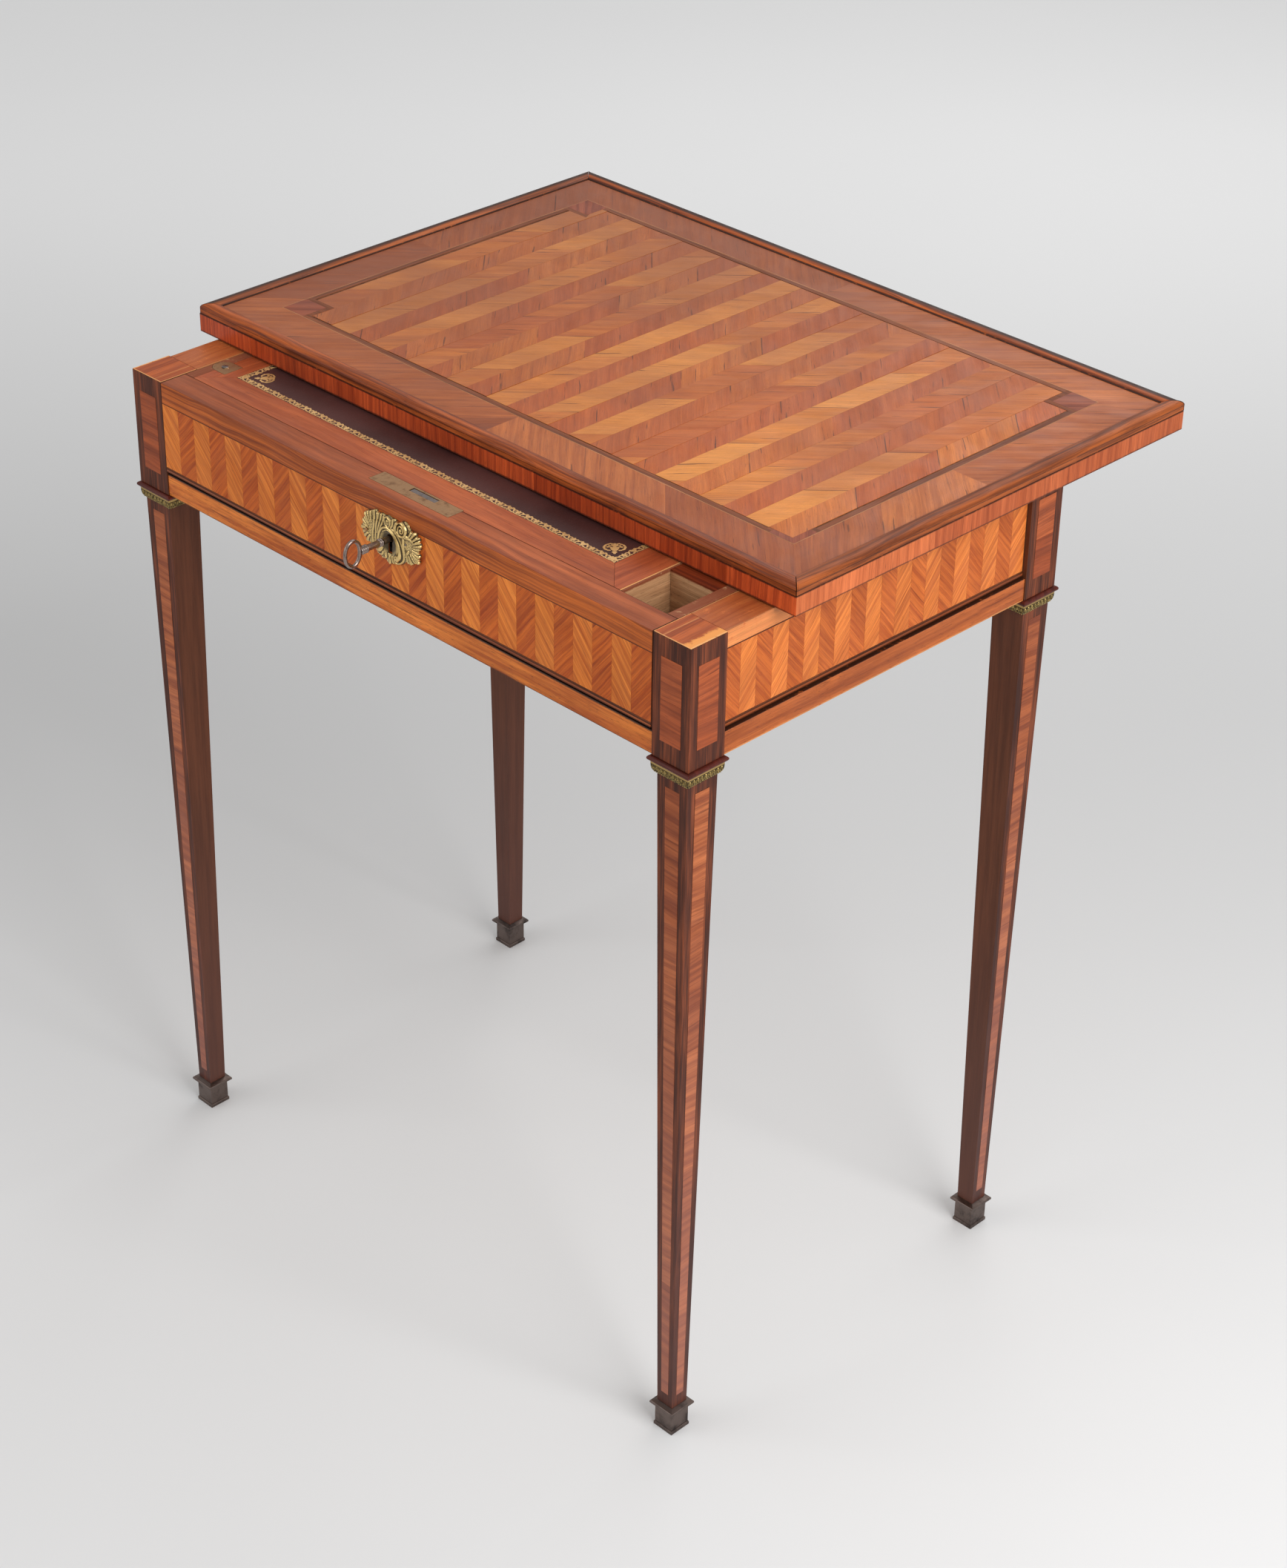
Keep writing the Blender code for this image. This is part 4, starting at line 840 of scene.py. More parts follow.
def keyhole_cutter(level):
    """The keyhole as a flat prism: a round hole over a slot, in the field's own frame."""
    neck = KEY_LEVEL - 2.2
    corners = [(SLOT_HALF, SLOT_END), (SLOT_HALF, neck)]
    for step in range(17):
        angle = math.radians(-50 + step * 280 / 16)
        corners.append((KEYHOLE_RADIUS * math.cos(angle),
                        KEY_LEVEL + KEYHOLE_RADIUS * math.sin(angle)))
    corners += [(-SLOT_HALF, neck), (-SLOT_HALF, SLOT_END)]
    shape = bmesh.new()
    skin(shape, [[(x * MM, z * MM - level, depth) for x, z in corners] for depth in (-MM, 2 * MM)])
    return bpy.data.objects.new("keyhole_cutter", as_mesh("keyhole_cutter", shape))


# %% Upright parquetry
WALLS = {"drawer": ("drawer", (0, front_low.y), "front"),
         "right": ("case", (panel_high.x, -35 * MM), "right"),
         "left": ("case", (-panel_high.x, -35 * MM), "left"),
         "back": ("case", (0, back_high.y), "back")}
FIELDS = (
    ("drawer_field", "drawer", "front_parquetry", 528.2, 28, 630.0, 683.3, -1.0, 1.0, 12),
    ("side_field_right", "right", "side_parquetry", 315.0, 20, 628.8, 684.5, -1.0, 0.0, 16),
    ("side_field_left", "left", "side_parquetry", 315.0, 20, 628.8, 684.5, 1.0, 0.0, 15),
    ("back_field", "back", "side_parquetry", 528.0, 28, 628.8, 684.5, 1.0, 1.0, 10))
for name, wall, finish, length, count, low, high, turned, first, seed in FIELDS:
    body, spot, side = WALLS[wall]
    middle = (low + high) / 2
    place = ((*spot, middle * MM), sideways(side), UP)
    hole = {"Pierced": True, "Hole": keyhole_cutter(middle * MM)} if wall == "drawer" else {}
    lay_strips(name, finish, body, place, length * MM, (high - low) * MM, count, Seed=seed,
               Slant=math.radians(40), Turned=turned, First=first, Spread=0.25, **hole)
    cut_veneer(name + "_lines", [
        (patch(-length / 2, high - middle, length, 0.7), 0, 0.4),
        (patch(-length / 2, low - 1.2 - middle, length, 1.0), 0, 0.5)], "dark_line", body, place)
print("upright fields:", len(FIELDS))

# %% Plain bands above and below the upright parquetry
PLAIN = (("drawer_band", "drawer", "band_wood", 528.2, 684.1, 700.1),
         ("drawer_bead", "drawer", "banding", 528.2, 625.8, 628.6),
         ("side_bead_right", "right", "banding", 317.0, 624.4, 627.4),
         ("side_bead_left", "left", "banding", 317.0, 624.4, 627.4),
         ("back_bead", "back", "banding", 529.0, 624.4, 627.4))
for name, wall, finish, length, low, high in PLAIN:
    body, spot, side = WALLS[wall]
    place = ((*spot, 0), sideways(side), UP)
    cut_veneer(name, [(patch(-length / 2, low, length, high - low), 0, 0.6)], finish, body, place)
    if finish == "banding":
        edges = [(patch(-length / 2, level, length, 0.8), 0, 0.2) for level in (low, high - 0.8)]
        cut_veneer(name + "_lines", edges, "dark_line", body, place, 0.36)
print("plain bands:", len(PLAIN))

# %% [markdown]
# ## Legs
# Only the two outer faces of each leg are inlaid. A strip of cross-cut veneer runs down the
# middle of the face, and dark rosewood is left on both sides of it. The faces lean in a
# little, so the leg's own corners give where a piece lies.

# %% Measure a leg
def leg_rings(name):
    """The leg's box just above its shoe, and at its neck under the post."""
    points = np.array([v.co for v in nodes[name].data.vertices])
    foot = points[(points[:, 2] > 0.020) & (points[:, 2] < 0.030)]
    neck = points[(points[:, 2] > 0.6045) & (points[:, 2] < 0.6055)]
    inside = np.all((neck[:, :2] > neck[:, :2].min(0) + MM) &
                    (neck[:, :2] < neck[:, :2].max(0) - MM), axis=1)
    return [(ring.min(0), ring.max(0)) for ring in (foot, neck[inside])]


def on_face(ring, out):
    """The middle of the side of a ring that looks out."""
    low, high = (Vector(corner) for corner in ring)
    middle = (low + high) / 2
    return middle + Vector((out.x * (high.x - low.x), out.y * (high.y - low.y), 0)) / 2


# %% Inlay of the legs and posts
LEG_TOP, LEG_END, INLAY_SHARE = 583.5, 36.5, 0.47
POST_HALF, POST_MIDDLE = 17.5 * MM, 0.6525
LEGS = [(x_name, y_name) for x_name in ("right", "left") for y_name in ("front", "back")]
leg_number = 0
for x_name, y_name in LEGS:
    leg = f"leg_{y_name}_{x_name}"
    foot, neck = leg_rings(leg)
    post_low, post_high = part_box(leg)
    middle = (post_low + post_high) / 2
    for face in (x_name, y_name):
        leg_number += 1
        out = Vector((*SIDES[face], 0))
        start, end = on_face(foot, out), on_face(neck, out)
        rise = (end - start) / (end.z - start.z)
        bottom = start + rise * (LEG_END * MM - start.z)
        top = start + rise * (LEG_TOP * MM - start.z)
        along = (top - bottom).normalized()
        level = out.cross(Vector(UP))
        over = (level - level.dot(along) * along).normalized()
        wide = [abs((Vector(ring[1]) - Vector(ring[0])).dot(over)) for ring in (foot, neck)]
        lay_strips(f"inlay_{y_name}_{x_name}_{face}", "inlay", "case",
                   ((top + bottom) / 2, along, over), (top - bottom).length,
                   sum(wide) / 2 * INLAY_SHARE, 5, Slant=0.06, First=0.5, Spread=0.3,
                   Taper=(wide[1] - wide[0]) / sum(wide) * 2, Thickness=0.15 * MM,
                   Seed=40 + leg_number)
        spot = (middle.x + out.x * POST_HALF, middle.y + out.y * POST_HALF, POST_MIDDLE)
        lay_strips(f"post_{y_name}_{x_name}_{face}", "post_inlay", "case", (spot, UP, level),
                   65 * MM, 19.4 * MM, 2, Slant=0.05, First=0.4, Spread=0.25,
                   Thickness=0.15 * MM, Seed=60 + leg_number)
print("inlaid faces:", leg_number)

# %% Veneer on the tops of the posts, with the grain from front to back
CAP = 17.2
for x_name, y_name in LEGS:
    post_low, post_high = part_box(f"leg_{y_name}_{x_name}")
    side_x, side_y = SIDES[x_name][0], SIDES[y_name][1]
    hub = [(high if side > 0 else low) - side * POST_HALF
           for low, high, side in zip(post_low, post_high, (side_x, side_y))]
    cut_veneer(f"post_top_{y_name}_{x_name}", [(patch(-CAP, -CAP, 2 * CAP, 2 * CAP), 90, 0.5)],
               "cap_wood", "case", ((*hub, post_high.z), *FLAT), 0.2)
print("post tops:", len(LEGS))

# %% Facing of the small compartment's back
part_low, part_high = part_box("compartment_partition")
corners = patch(part_low.x / MM, part_low.y / MM, (part_high.x - part_low.x) / MM, 13)
cut_veneer("partition_facing", [(corners, 0, 0.3)], "red_facing", "drawer",
           ((0, 0, part_high.z), *FLAT), 1.2)


# %% Finish of the leg wood
def leg_wood():
    """Dark rosewood on the two outer faces of every leg, and plain brown on the inner ones."""
    shader = new_finish("leg_wood", shine=0.15)
    place = grain_place("Z")
    position = parts(room_place())
    normal = parts(add("ShaderNodeTexCoord").outputs["Normal"])
    out_x = calc("*", calc("SIGN", position[0]), normal[0])
    out_y = calc("*", calc("SIGN", calc("+", position[1], 0.035)), normal[1])
    inner = calc("LESS_THAN", calc("MINIMUM", out_x, out_y), -0.5)
    streaks = noise(place, (9, 210, 210), detail=4, rough=0.7)
    fibres = noise(place, (22, 1100, 1100), detail=3)
    patches = noise(place, (7, 60, 60), detail=3)
    veins = noise(place, (5, 620, 620))
    rosewood = blend(ramp(streaks, 0.36, 0.66), (72, 34, 21), (134, 68, 39))
    for mask, low, high, share, paint in ((patches, 0.42, 0.66, 0.7, (54, 24, 16)),
                                          (fibres, 0.42, 0.62, 0.5, (50, 24, 17)),
                                          (veins, 0.56, 0.66, 0.4, (52, 26, 18))):
        rosewood = blend(ramp(mask, low, high, 0.0, share), rosewood, paint)
    plain = blend(ramp(streaks, 0.3, 0.7), (84, 46, 29), (104, 59, 38))
    body = blend(inner, rosewood, plain)
    low_down = ramp(position[2], 0.02, 0.42, 0.55, 0.0)
    body = blend(low_down, body, (84, 58, 54))
    wire(body, shader, "Base Color")
    rough = ramp(noise(place, (20, 40, 40), 3), 0.3, 0.7, 0.30, 0.46)
    wire(rough, shader, "Roughness")
    bumps(shader, fibres, 0.3, 0.0001)


leg_wood()

# %% [markdown]
# ## Metal
# The bronze is cast and gilt, and a dark dirt lies in its hollows. The lock's brass is
# brushed and tarnished, and the key is polished steel gone grey.

# %% Metals
def metal(name, bright, dull, rough, patches=60.0, share=0.5, scratch=0.0, dirt_and_shade=None, rim=None):
    """A metal whose tarnish lies in soft patches, and its dirt, with painted shade, in the hollows.
    """
    shader = new_finish(name, metallic=1.0)
    place = room_place()
    tarnish = noise(place, patches, detail=5, rough=0.65)
    grains = noise(place, patches * 22, detail=3)
    mask = ramp(tarnish, 0.62 - share * 0.3, 0.92 - share * 0.3)
    mask = calc("MAXIMUM", mask, ramp(grains, 0.60, 0.8, 0.0, share))
    body = blend(mask, bright, dull)
    if rim:
        level, paint = rim
        rise = ramp(parts(place)[2], (level - 0.3) * MM, (level + 0.2) * MM)
        body = blend(rise, body, paint)
    if dirt_and_shade:
        deep = add("ShaderNodeAttribute", attribute_name="hollow").outputs["Fac"]
        filled = ramp(calc("*+", grains, 0.1, deep), -0.02, 0.28, 0.0, 0.95)
        body = blend(filled, body, dirt_and_shade)
        bare = calc("-", 1.0, calc("*", filled, 0.5))
        wire(bare, shader, "Metallic")
    wire(body, shader, "Base Color")
    uneven = ramp(tarnish, 0.3, 0.75, rough - 0.08, rough + 0.16)
    wire(uneven, shader, "Roughness")
    height = calc("+", calc("*", grains, 0.5), tarnish)
    if scratch:
        lines = noise(place, (12, 1500, 1500))
        height = calc("*+", lines, scratch, height)
    bumps(shader, height, 0.35, 0.00012)


METALS = (
    ("gilt_bronze", (226, 194, 130), (156, 126, 74), 0.28, dict(share=0.4, dirt_and_shade=(52, 38, 22))),
    ("dark_bronze", (112, 98, 92), (58, 51, 50), 0.42, dict(share=0.6)),
    ("brass", (178, 138, 100), (112, 82, 60), 0.4, dict(patches=110.0, scratch=0.6)),
    ("steel", (136, 126, 122), (84, 74, 70), 0.34, dict(share=0.4)),
    ("key_steel", (150, 134, 126), (84, 68, 60), 0.3, dict(patches=220.0, share=0.55)),
    ("pale_bronze", (166, 142, 88), (56, 50, 34), 0.34, dict(patches=420.0, share=0.7)),
    ("collar_bronze", (100, 84, 52), (38, 32, 22), 0.42, dict(
        patches=300.0, share=0.7, rim=(598.6, (176, 146, 92)))))
for name, bright, dull, rough, more in METALS:
    metal(name, bright, dull, rough, **more)
print("metals:", len(METALS))

# %% [markdown]
# ## The escutcheon
# A cast mount is like a relief in wax. Its plate has an outline, and strokes of a round
# section lie on it and run into each other. Here the relief is a field of heights over a
# fine grid: each stroke raises the field where it passes and the higher one wins. The
# result also tells where the hollows are, and the dirt gathers there. The dish round the
# keyhole is added to the hollows as painted shade.

# %% Smooth paths and distances
def smooth_path(points, count, closed=False):
    """Points on a smooth curve through the given ones. All their values go along."""
    knots = np.array(points, float)
    if closed:
        knots = np.vstack((knots[-1:], knots, knots[:2]))
    else:
        knots = np.vstack((2 * knots[0] - knots[1], knots, 2 * knots[-1] - knots[-2]))
    spans = len(knots) - 3
    places = np.linspace(0, spans, count, endpoint=not closed)
    first = np.minimum(places.astype(int), spans - 1)
    share = (places - first)[:, None]
    a, b, c, d = (knots[first + number] for number in range(4))
    return 0.5 * (2 * b + (c - a) * share + (2 * a - 5 * b + 4 * c - d) * share ** 2
                  + (3 * b - a - 3 * c + d) * share ** 3)


def inside_distance(points, outline):
    """How far each point lies inside a closed outline. It is negative outside."""
    nearest = np.full(len(points), 1e9)
    crossed = np.zeros(len(points), bool)
    for start, end in zip(outline, np.roll(outline, -1, 0)):
        along = end - start
        share = np.clip((points - start) @ along / (along @ along), 0, 1)
        gap = points - start - share[:, None] * along
        nearest = np.minimum(nearest, (gap ** 2).sum(1))
        spans = (start[1] > points[:, 1]) != (end[1] > points[:, 1])
        rise = along[1] if abs(along[1]) > 1e-9 else 1e-9
        crossed ^= spans & (points[:, 0] < start[0] + (points[:, 1] - start[1]) * along[0] / rise)
    return np.sqrt(nearest) * np.where(crossed, 1, -1)


def spiral(x, z, start, turns, first, last, half, high):
    """A stroke that winds round a point, from one radius to another."""
    stroke = []
    for step in range(13):
        share = step / 12
        angle = start + turns * 2 * math.pi * share
        radius = first + (last - first) * share
        stroke.append((x + radius * math.cos(angle), z + radius * math.sin(angle),
                       half * (1 - 0.35 * share), high))
    return stroke


# %% Outline and strokes of the escutcheon, in millimetres on the drawer's face
OUTLINE = ((-16, 686.3), (-20, 684), (-24, 682.6), (-27, 680), (-27.2, 677), (-29.4, 674),
           (-29, 671), (-31.2, 668), (-29.2, 665), (-28.6, 662), (-26, 660.4), (-25, 657.8),
           (-21.6, 657.6), (-18.6, 655), (-15.4, 654.8), (-13.8, 652), (-10.4, 651.8),
           (-8.4, 649.8), (-5, 650.4), (-2.6, 648.6), (0.6, 648), (2.6, 649.6), (6, 649.8),
           (10, 651), (14, 653), (17.6, 656), (20.6, 656.4), (23, 655.4), (25.4, 657),
           (27.6, 659.4), (30.4, 659.2), (33, 660.6), (32.6, 663.6), (33.6, 666.4), (32.4, 669.4),
           (34, 672), (35.2, 675.4), (33.6, 678), (33.6, 681), (30.6, 682), (28.6, 684.4),
           (25.4, 683.6), (22.4, 685), (20.8, 687), (18, 688.6), (14, 687.6), (10.4, 685.4),
           (7.4, 686.6), (3.4, 686.4), (0, 687.2), (-3.6, 686.2), (-7, 686.6), (-10.4, 685.8),
           (-13, 687))
# Each stroke is a path of (across, level, half width, height).
STROKES = [
    [(-15.2, 685.8, 1.0, 1.0), (-14.4, 681, 1.0, 1.3), (-14.8, 675.5, 0.9, 1.2),
     (-16.6, 669, 0.9, 0.9), (-17, 661, 0.8, 0.7), (-18.6, 657.4, 0.6, 0.4)],
    [(-11, 685.2, 1.5, 1.5), (-11, 681, 1.0, 1.4), (-12.6, 675.4, 0.8, 1.1),
     (-13.4, 670, 0.7, 0.8), (-14.6, 664, 0.6, 0.5)],
    [(-7.6, 685.4, 1.1, 1.2), (-8, 681, 0.9, 1.2), (-10.2, 675, 0.8, 1.0), (-12, 669.6, 0.7, 0.7)],
    [(-5, 684.4, 0.8, 0.9), (-5.4, 680.6, 0.8, 1.0), (-7.4, 676.6, 0.8, 0.9),
     (-10.2, 671, 0.8, 0.7)],
    [(-3.8, 680.6, 0.5, 0.7), (-4, 683.6, 0.6, 0.8), (-1.4, 685.4, 0.8, 1.0),
     (1.8, 684.4, 1.1, 1.4), (2.6, 681.4, 0.9, 1.2), (0.8, 678.4, 0.8, 0.8),
     (-2.2, 678.6, 0.6, 0.6), (-3.8, 680.6, 0.5, 0.6)],
    [(-0.8, 682.8, 1.0, 1.2), (-0.7, 682.7, 1.0, 1.2)],
    [(4.8, 685.2, 1.0, 1.0), (4.6, 681.4, 0.9, 0.9), (3.4, 678.4, 1.0, 0.9),
     (6.4, 675.4, 1.0, 1.0)],
    [(-9.8, 657, 0.6, 0.4), (-11.4, 663, 0.8, 0.8), (-9.6, 671, 1.0, 1.1), (-5, 676, 1.0, 1.3),
     (1, 677.2, 1.0, 1.4), (6.6, 674.6, 1.0, 1.5), (10.6, 669.6, 1.1, 1.6),
     (12.6, 663.6, 1.2, 1.7), (12, 658.6, 1.8, 2.0), (9, 655.6, 1.9, 2.0), (6.6, 655.6, 1.2, 1.5)],
    [(-6.6, 672.4, 0.4, 0.4), (-1, 675.2, 0.5, 0.7), (4.6, 673, 0.5, 0.8), (8.6, 667.6, 0.5, 0.9),
     (9.8, 662, 0.5, 0.9), (8, 657.4, 0.4, 0.6)],
    [(3.4, 678.6, 0.5, 0.5), (9, 676.2, 0.8, 0.9), (14, 670.6, 0.9, 1.0), (16.6, 664.6, 0.9, 1.0),
     (16.4, 658.6, 0.9, 1.0), (12.8, 653.8, 0.8, 0.9), (8, 651.6, 0.7, 0.8), (5.4, 653, 0.6, 0.7)],
    spiral(14.4, 681, math.radians(215), -1.0, 6.4, 4.4, 1.5, 1.9),
    spiral(14.4, 680.8, math.radians(-145), -1.0, 3.6, 1.8, 0.8, 1.3),
    [(13.8, 680.6, 1.2, 1.5), (14, 680.4, 1.2, 1.5)],
    spiral(8.6, 656.6, math.radians(-60), 0.8, 2.6, 0.8, 0.7, 2.2),
    [(17.6, 679, 0.8, 0.7), (16.6, 675, 1.4, 1.0), (16.4, 668.4, 1.2, 0.8), (18.6, 661, 1.0, 0.6)],
    [(-14.6, 654.6, 0.8, 0.5), (-9.6, 656.6, 1.7, 1.5), (-7, 659.4, 1.0, 0.8)],
    [(-11, 652.4, 0.7, 0.7), (-8, 653.4, 0.9, 0.9), (-6.4, 656, 0.7, 0.6)],
    [(-5.4, 651, 0.8, 0.7), (-3.2, 653.4, 1.1, 1.3), (-3.4, 655.4, 0.7, 0.6)],
    [(0.6, 649.4, 1.0, 1.1), (1, 652, 0.7, 0.8), (0.4, 654.6, 0.6, 0.6)],
    [(4.2, 650.6, 0.7, 0.8), (3.6, 653.2, 0.7, 0.9), (3, 655.2, 0.5, 0.6)]]

# %% Tips of the two wings, each a short stroke towards the middle
RIGHT_LEVEL, LEFT_ROOT, LEFT_LEVEL = 670, -17, 669
WING_TIPS = ((25.4, 683.4, 17.6), (28.4, 683.2, 18.4), (31.6, 681.2, 19), (32.8, 678, 19.4),
             (34, 675, 19.4), (33, 671.8, 19.2), (31.6, 669, 19), (32.4, 666, 19),
             (31.6, 663.4, 19), (32, 661, 19), (28.4, 660.4, 19), (24.8, 657.6, 18.6),
             (21.6, 658, 18))
for x, z, root in WING_TIPS:
    STROKES.append([(x, z, 1.5, 1.5), ((x * 3 + root) / 4, (z * 3 + RIGHT_LEVEL) / 4, 1.1, 1.2),
                    ((x + root) / 2, (z + RIGHT_LEVEL) / 2, 0.6, 0.5)])
LEFT_TIPS = ((-19.4, 683), (-22.6, 681.8), (-25.6, 679.4), (-25.8, 676), (-28, 673.4),
             (-27.4, 670.6), (-29.4, 667.6), (-27.6, 664.6), (-26.8, 661.4), (-23.8, 659))
for x, z in LEFT_TIPS:
    STROKES.append([
        (x, z, 1.4, 0.9), ((x * 2 + LEFT_ROOT) / 3, (z * 2 + LEFT_LEVEL) / 3 + 0.6, 1.0, 1.0),
        ((x + LEFT_ROOT) / 2, (z + LEFT_LEVEL) / 2, 0.6, 0.5)])
STROKES.append([(19.4, 677.4, 2.0, 1.5), (22.6, 677.6, 1.6, 1.2), (26.4, 676, 1.0, 0.9)])
STROKES.append([(20.6, 664.8, 1.3, 1.1), (22, 666.4, 1.0, 0.8)])
print("strokes of the escutcheon:", len(STROKES))

# %% Distances of the plate
STEP = 0.27
BACK_LEVEL = front_low.y - 0.00035
RING_RADIUS, SLIT_X, SLIT_LEVEL, SLIT_Z = 3.0, 2.0, 662.5, 5.8
outline = smooth_path(OUTLINE, 260, closed=True)
columns, levels = np.arange(-33, 37, STEP), np.arange(646, 691, STEP)
grid_x, grid_z = np.meshgrid(columns, levels)
grid = np.stack((grid_x.ravel(), grid_z.ravel()), 1)


def plate_distance(points):
    """How far each point lies inside the plate, from its outline or from its keyhole."""
    x, z = points.T
    ring = np.hypot(x, z - KEY_LEVEL) - RING_RADIUS
    slot = np.stack((np.abs(x) - SLIT_X, np.abs(z - SLIT_LEVEL) - SLIT_Z), 1)
    outside = np.hypot(*np.clip(slot, 0, None).T) + np.minimum(slot.max(1), 0)
    return np.minimum(inside_distance(points, outline), np.minimum(ring, outside))


def neighbours(field):
    """The sum of the four heights next to each one."""
    edge = np.pad(field, 1, mode="edge")
    return edge[:-2, 1:-1] + edge[2:, 1:-1] + edge[1:-1, :-2] + edge[1:-1, 2:]


room = plate_distance(grid)
keep = room > -STEP * 1.5
print("points of the grid:", len(grid), "on the plate:", int(keep.sum()))

# %% Raise the relief
x, z = grid.T
ridges = np.zeros(len(grid))
for stroke in STROKES:
    for stroke_x, stroke_z, half, high in smooth_path(stroke, 9 * len(stroke)):
        away = ((x - stroke_x) ** 2 + (z - stroke_z) ** 2) / half ** 2
        np.maximum(ridges, high * np.sqrt(np.clip(1 - away, 0, None)), out=ridges)
crinkle = 0.20 * np.sin(x * 3.1 + np.sin(z * 2.3) * 1.4) * np.sin(z * 2.9 + np.sin(x * 1.7) * 1.6)
wings = np.clip((np.abs(x - 1) - 15) / 3, 0, 1)
dish = 0.8 * np.clip(1 - np.hypot(x / 9.5, (z - 665.5) / 10.5), 0, 1)
swell = 1.1 * np.clip(room / 7, 0, 1) ** 0.6
relief = 1.0 + swell - dish + ridges + crinkle * wings
PINS = ((-23.6, 667.8), (18.4, 670.8))
for pin_x, pin_z in PINS:
    relief -= 0.9 * np.clip(1.6 - np.hypot(x - pin_x, z - pin_z), 0, 1)
relief = relief.reshape(grid_x.shape)
relief = (neighbours(relief) + 2 * relief) / 6
broad = relief
for _ in range(14):
    broad = neighbours(broad) / 4
# The hollows take dark patina. The dish round the keyhole is added as painted shade.
hollow = (broad - relief).ravel() + 0.8 * dish
relief = relief.ravel() * np.clip((room + STEP) / 0.9, 0.12, 1) ** 0.5
print("highest, mm:", round(relief.max(), 2))

# %% Turn the field of heights into a plate
NUDGE = 0.01
snapped = grid.copy()
for _ in range(2):
    gap = plate_distance(snapped)
    outer = gap < 0
    spots = snapped[outer]
    slope = np.stack([(plate_distance(spots + nudge) - gap[outer]) / NUDGE
                      for nudge in ((NUDGE, 0), (0, NUDGE))], 1)
    size = np.clip((slope ** 2).sum(1), 0.2, None)[:, None]
    snapped[outer] = spots - np.clip(gap[outer], -1, 0)[:, None] * slope / size
shape = bmesh.new()
dirt_and_shade = shape.verts.layers.float.new("hollow")
wide = len(columns)
points = {}
for row in range(len(levels) - 1):
    for column in range(wide - 1):
        corner = row * wide + column
        ring = (corner, corner + 1, corner + wide + 1, corner + wide)
        if max(room[number] for number in ring) <= 0 or not all(keep[number] for number in ring):
            continue
        for number in ring:
            if number not in points:
                x, z = snapped[number] * MM
                points[number] = shape.verts.new((x, BACK_LEVEL - relief[number] * MM, z))
                points[number][dirt_and_shade] = hollow[number]
        shape.faces.new([points[number] for number in ring])
rims = [line for line in shape.edges if line.is_boundary]
wall = bmesh.ops.extrude_edge_only(shape, edges=rims)
for part in wall["geom"]:
    if isinstance(part, bmesh.types.BMVert):
        part.co.y = BACK_LEVEL
for face in shape.faces:
    face.smooth = True
mount = settle("escutcheon_relief", as_mesh("escutcheon_relief", shape), "drawer",
               "gilt_bronze")
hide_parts("escutcheon")
print("escutcheon:", len(mount.data.polygons), "faces")

# %% [markdown]
# ## Screws, keyhole, pins and key
# The keyhole is lined with near-black painted shade, so that no bare wood shines in it. The
# screws and the key are skinned over rings of points that are joined one to the next: half
# ovals for the two halves of a slotted head, round rings along the key's shaft and small ones
# round its bow.

# %% Screws in the flap's hinge plates, whose head is (share of the radius, lift)
HEAD = ((1.0, 0.0), (1.0, 0.12), (0.8, 0.3), (0.35, 0.42))
SLIT_HALF = 0.12 * MM


def screw(name, centre, radius, body):
    """A low round screw head that looks up, with a slot filed across it."""
    shape = bmesh.new()
    turns = [math.radians(-90 + 180 * step / 14) for step in range(15)]
    for side in (-1, 1):
        skin(shape, [[centre + Vector((side * (SLIT_HALF + radius * share * math.cos(a)),
                                       radius * share * math.sin(a), lift * MM)) for a in turns]
                     for share, lift in HEAD])
    return settle(name, as_mesh(name, shape), body, "steel")


for name in sorted(nodes):
    if name.startswith("flap_hinge_"):
        low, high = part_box(name)
        centre = Vector(((low.x + high.x) / 2, (low.y + high.y) / 2, high.z))
        screw(name.replace("flap_hinge", "hinge_screw"), centre, 2.6 * MM, nodes[name]["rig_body"])

# %% Dark lining of the keyhole, as painted shade
HOLE_HALF, HOLE_RADIUS, HOLE_FOOT, SLOT_HEAD = 1.4, 2.9, 661.5, 666.2


def keyhole_ring(shrink, y):
    """The keyhole's outline, drawn in by a hair, at a depth in the drawer front."""
    half, radius = HOLE_HALF - shrink, HOLE_RADIUS - shrink
    start = math.degrees(math.asin(half / radius)) - 90
    corners = [(half, HOLE_FOOT + shrink)]
    for step in range(17):
        angle = math.radians(start + step * (180 - 2 * start) / 16)
        corners.append((radius * math.cos(angle), KEY_LEVEL + radius * math.sin(angle)))
    corners.append((-half, HOLE_FOOT + shrink))
    return [(x * MM, y, z * MM) for x, z in corners]


shape = bmesh.new()
face_level, deep_level = front_low.y - 0.0002, front_low.y + 0.012
skin(shape, [keyhole_ring(shrink, y) for shrink, y in (
    (0.05, face_level), (0.05, deep_level), (0.12, deep_level), (0.12, face_level))], closed=True)
settle("keyhole_lining", as_mesh("keyhole_lining", shape), "drawer", "soot")
wide, tall = SLOT_HALF - HOLE_HALF, SLOT_HEAD - HOLE_FOOT
shadows = (patch(-SLOT_HALF, SLOT_END, 2 * SLOT_HALF, HOLE_FOOT - SLOT_END),
           patch(-SLOT_HALF, HOLE_FOOT, wide, tall), patch(HOLE_HALF, HOLE_FOOT, wide, tall))
cut_veneer("keyhole_shadow", [(corners, 0, 0.5) for corners in shadows], "soot", "drawer",
           ((0, front_low.y, 0), sideways("front"), UP), 0.08)

# %% Pins that hold the escutcheon
def dome(name, x, z, radius, lift, finish):
    """A round pin head on the drawer's face."""
    shape = bmesh.new()
    bmesh.ops.create_uvsphere(shape, u_segments=16, v_segments=10, radius=radius * MM)
    for corner in shape.verts:
        corner.co = Vector((corner.co.x + x * MM, BACK_LEVEL - lift * MM + corner.co.y * 0.7,
                            corner.co.z + z * MM))
    for face in shape.faces:
        face.smooth = True
    return settle(name, as_mesh(name, shape), "drawer", finish)


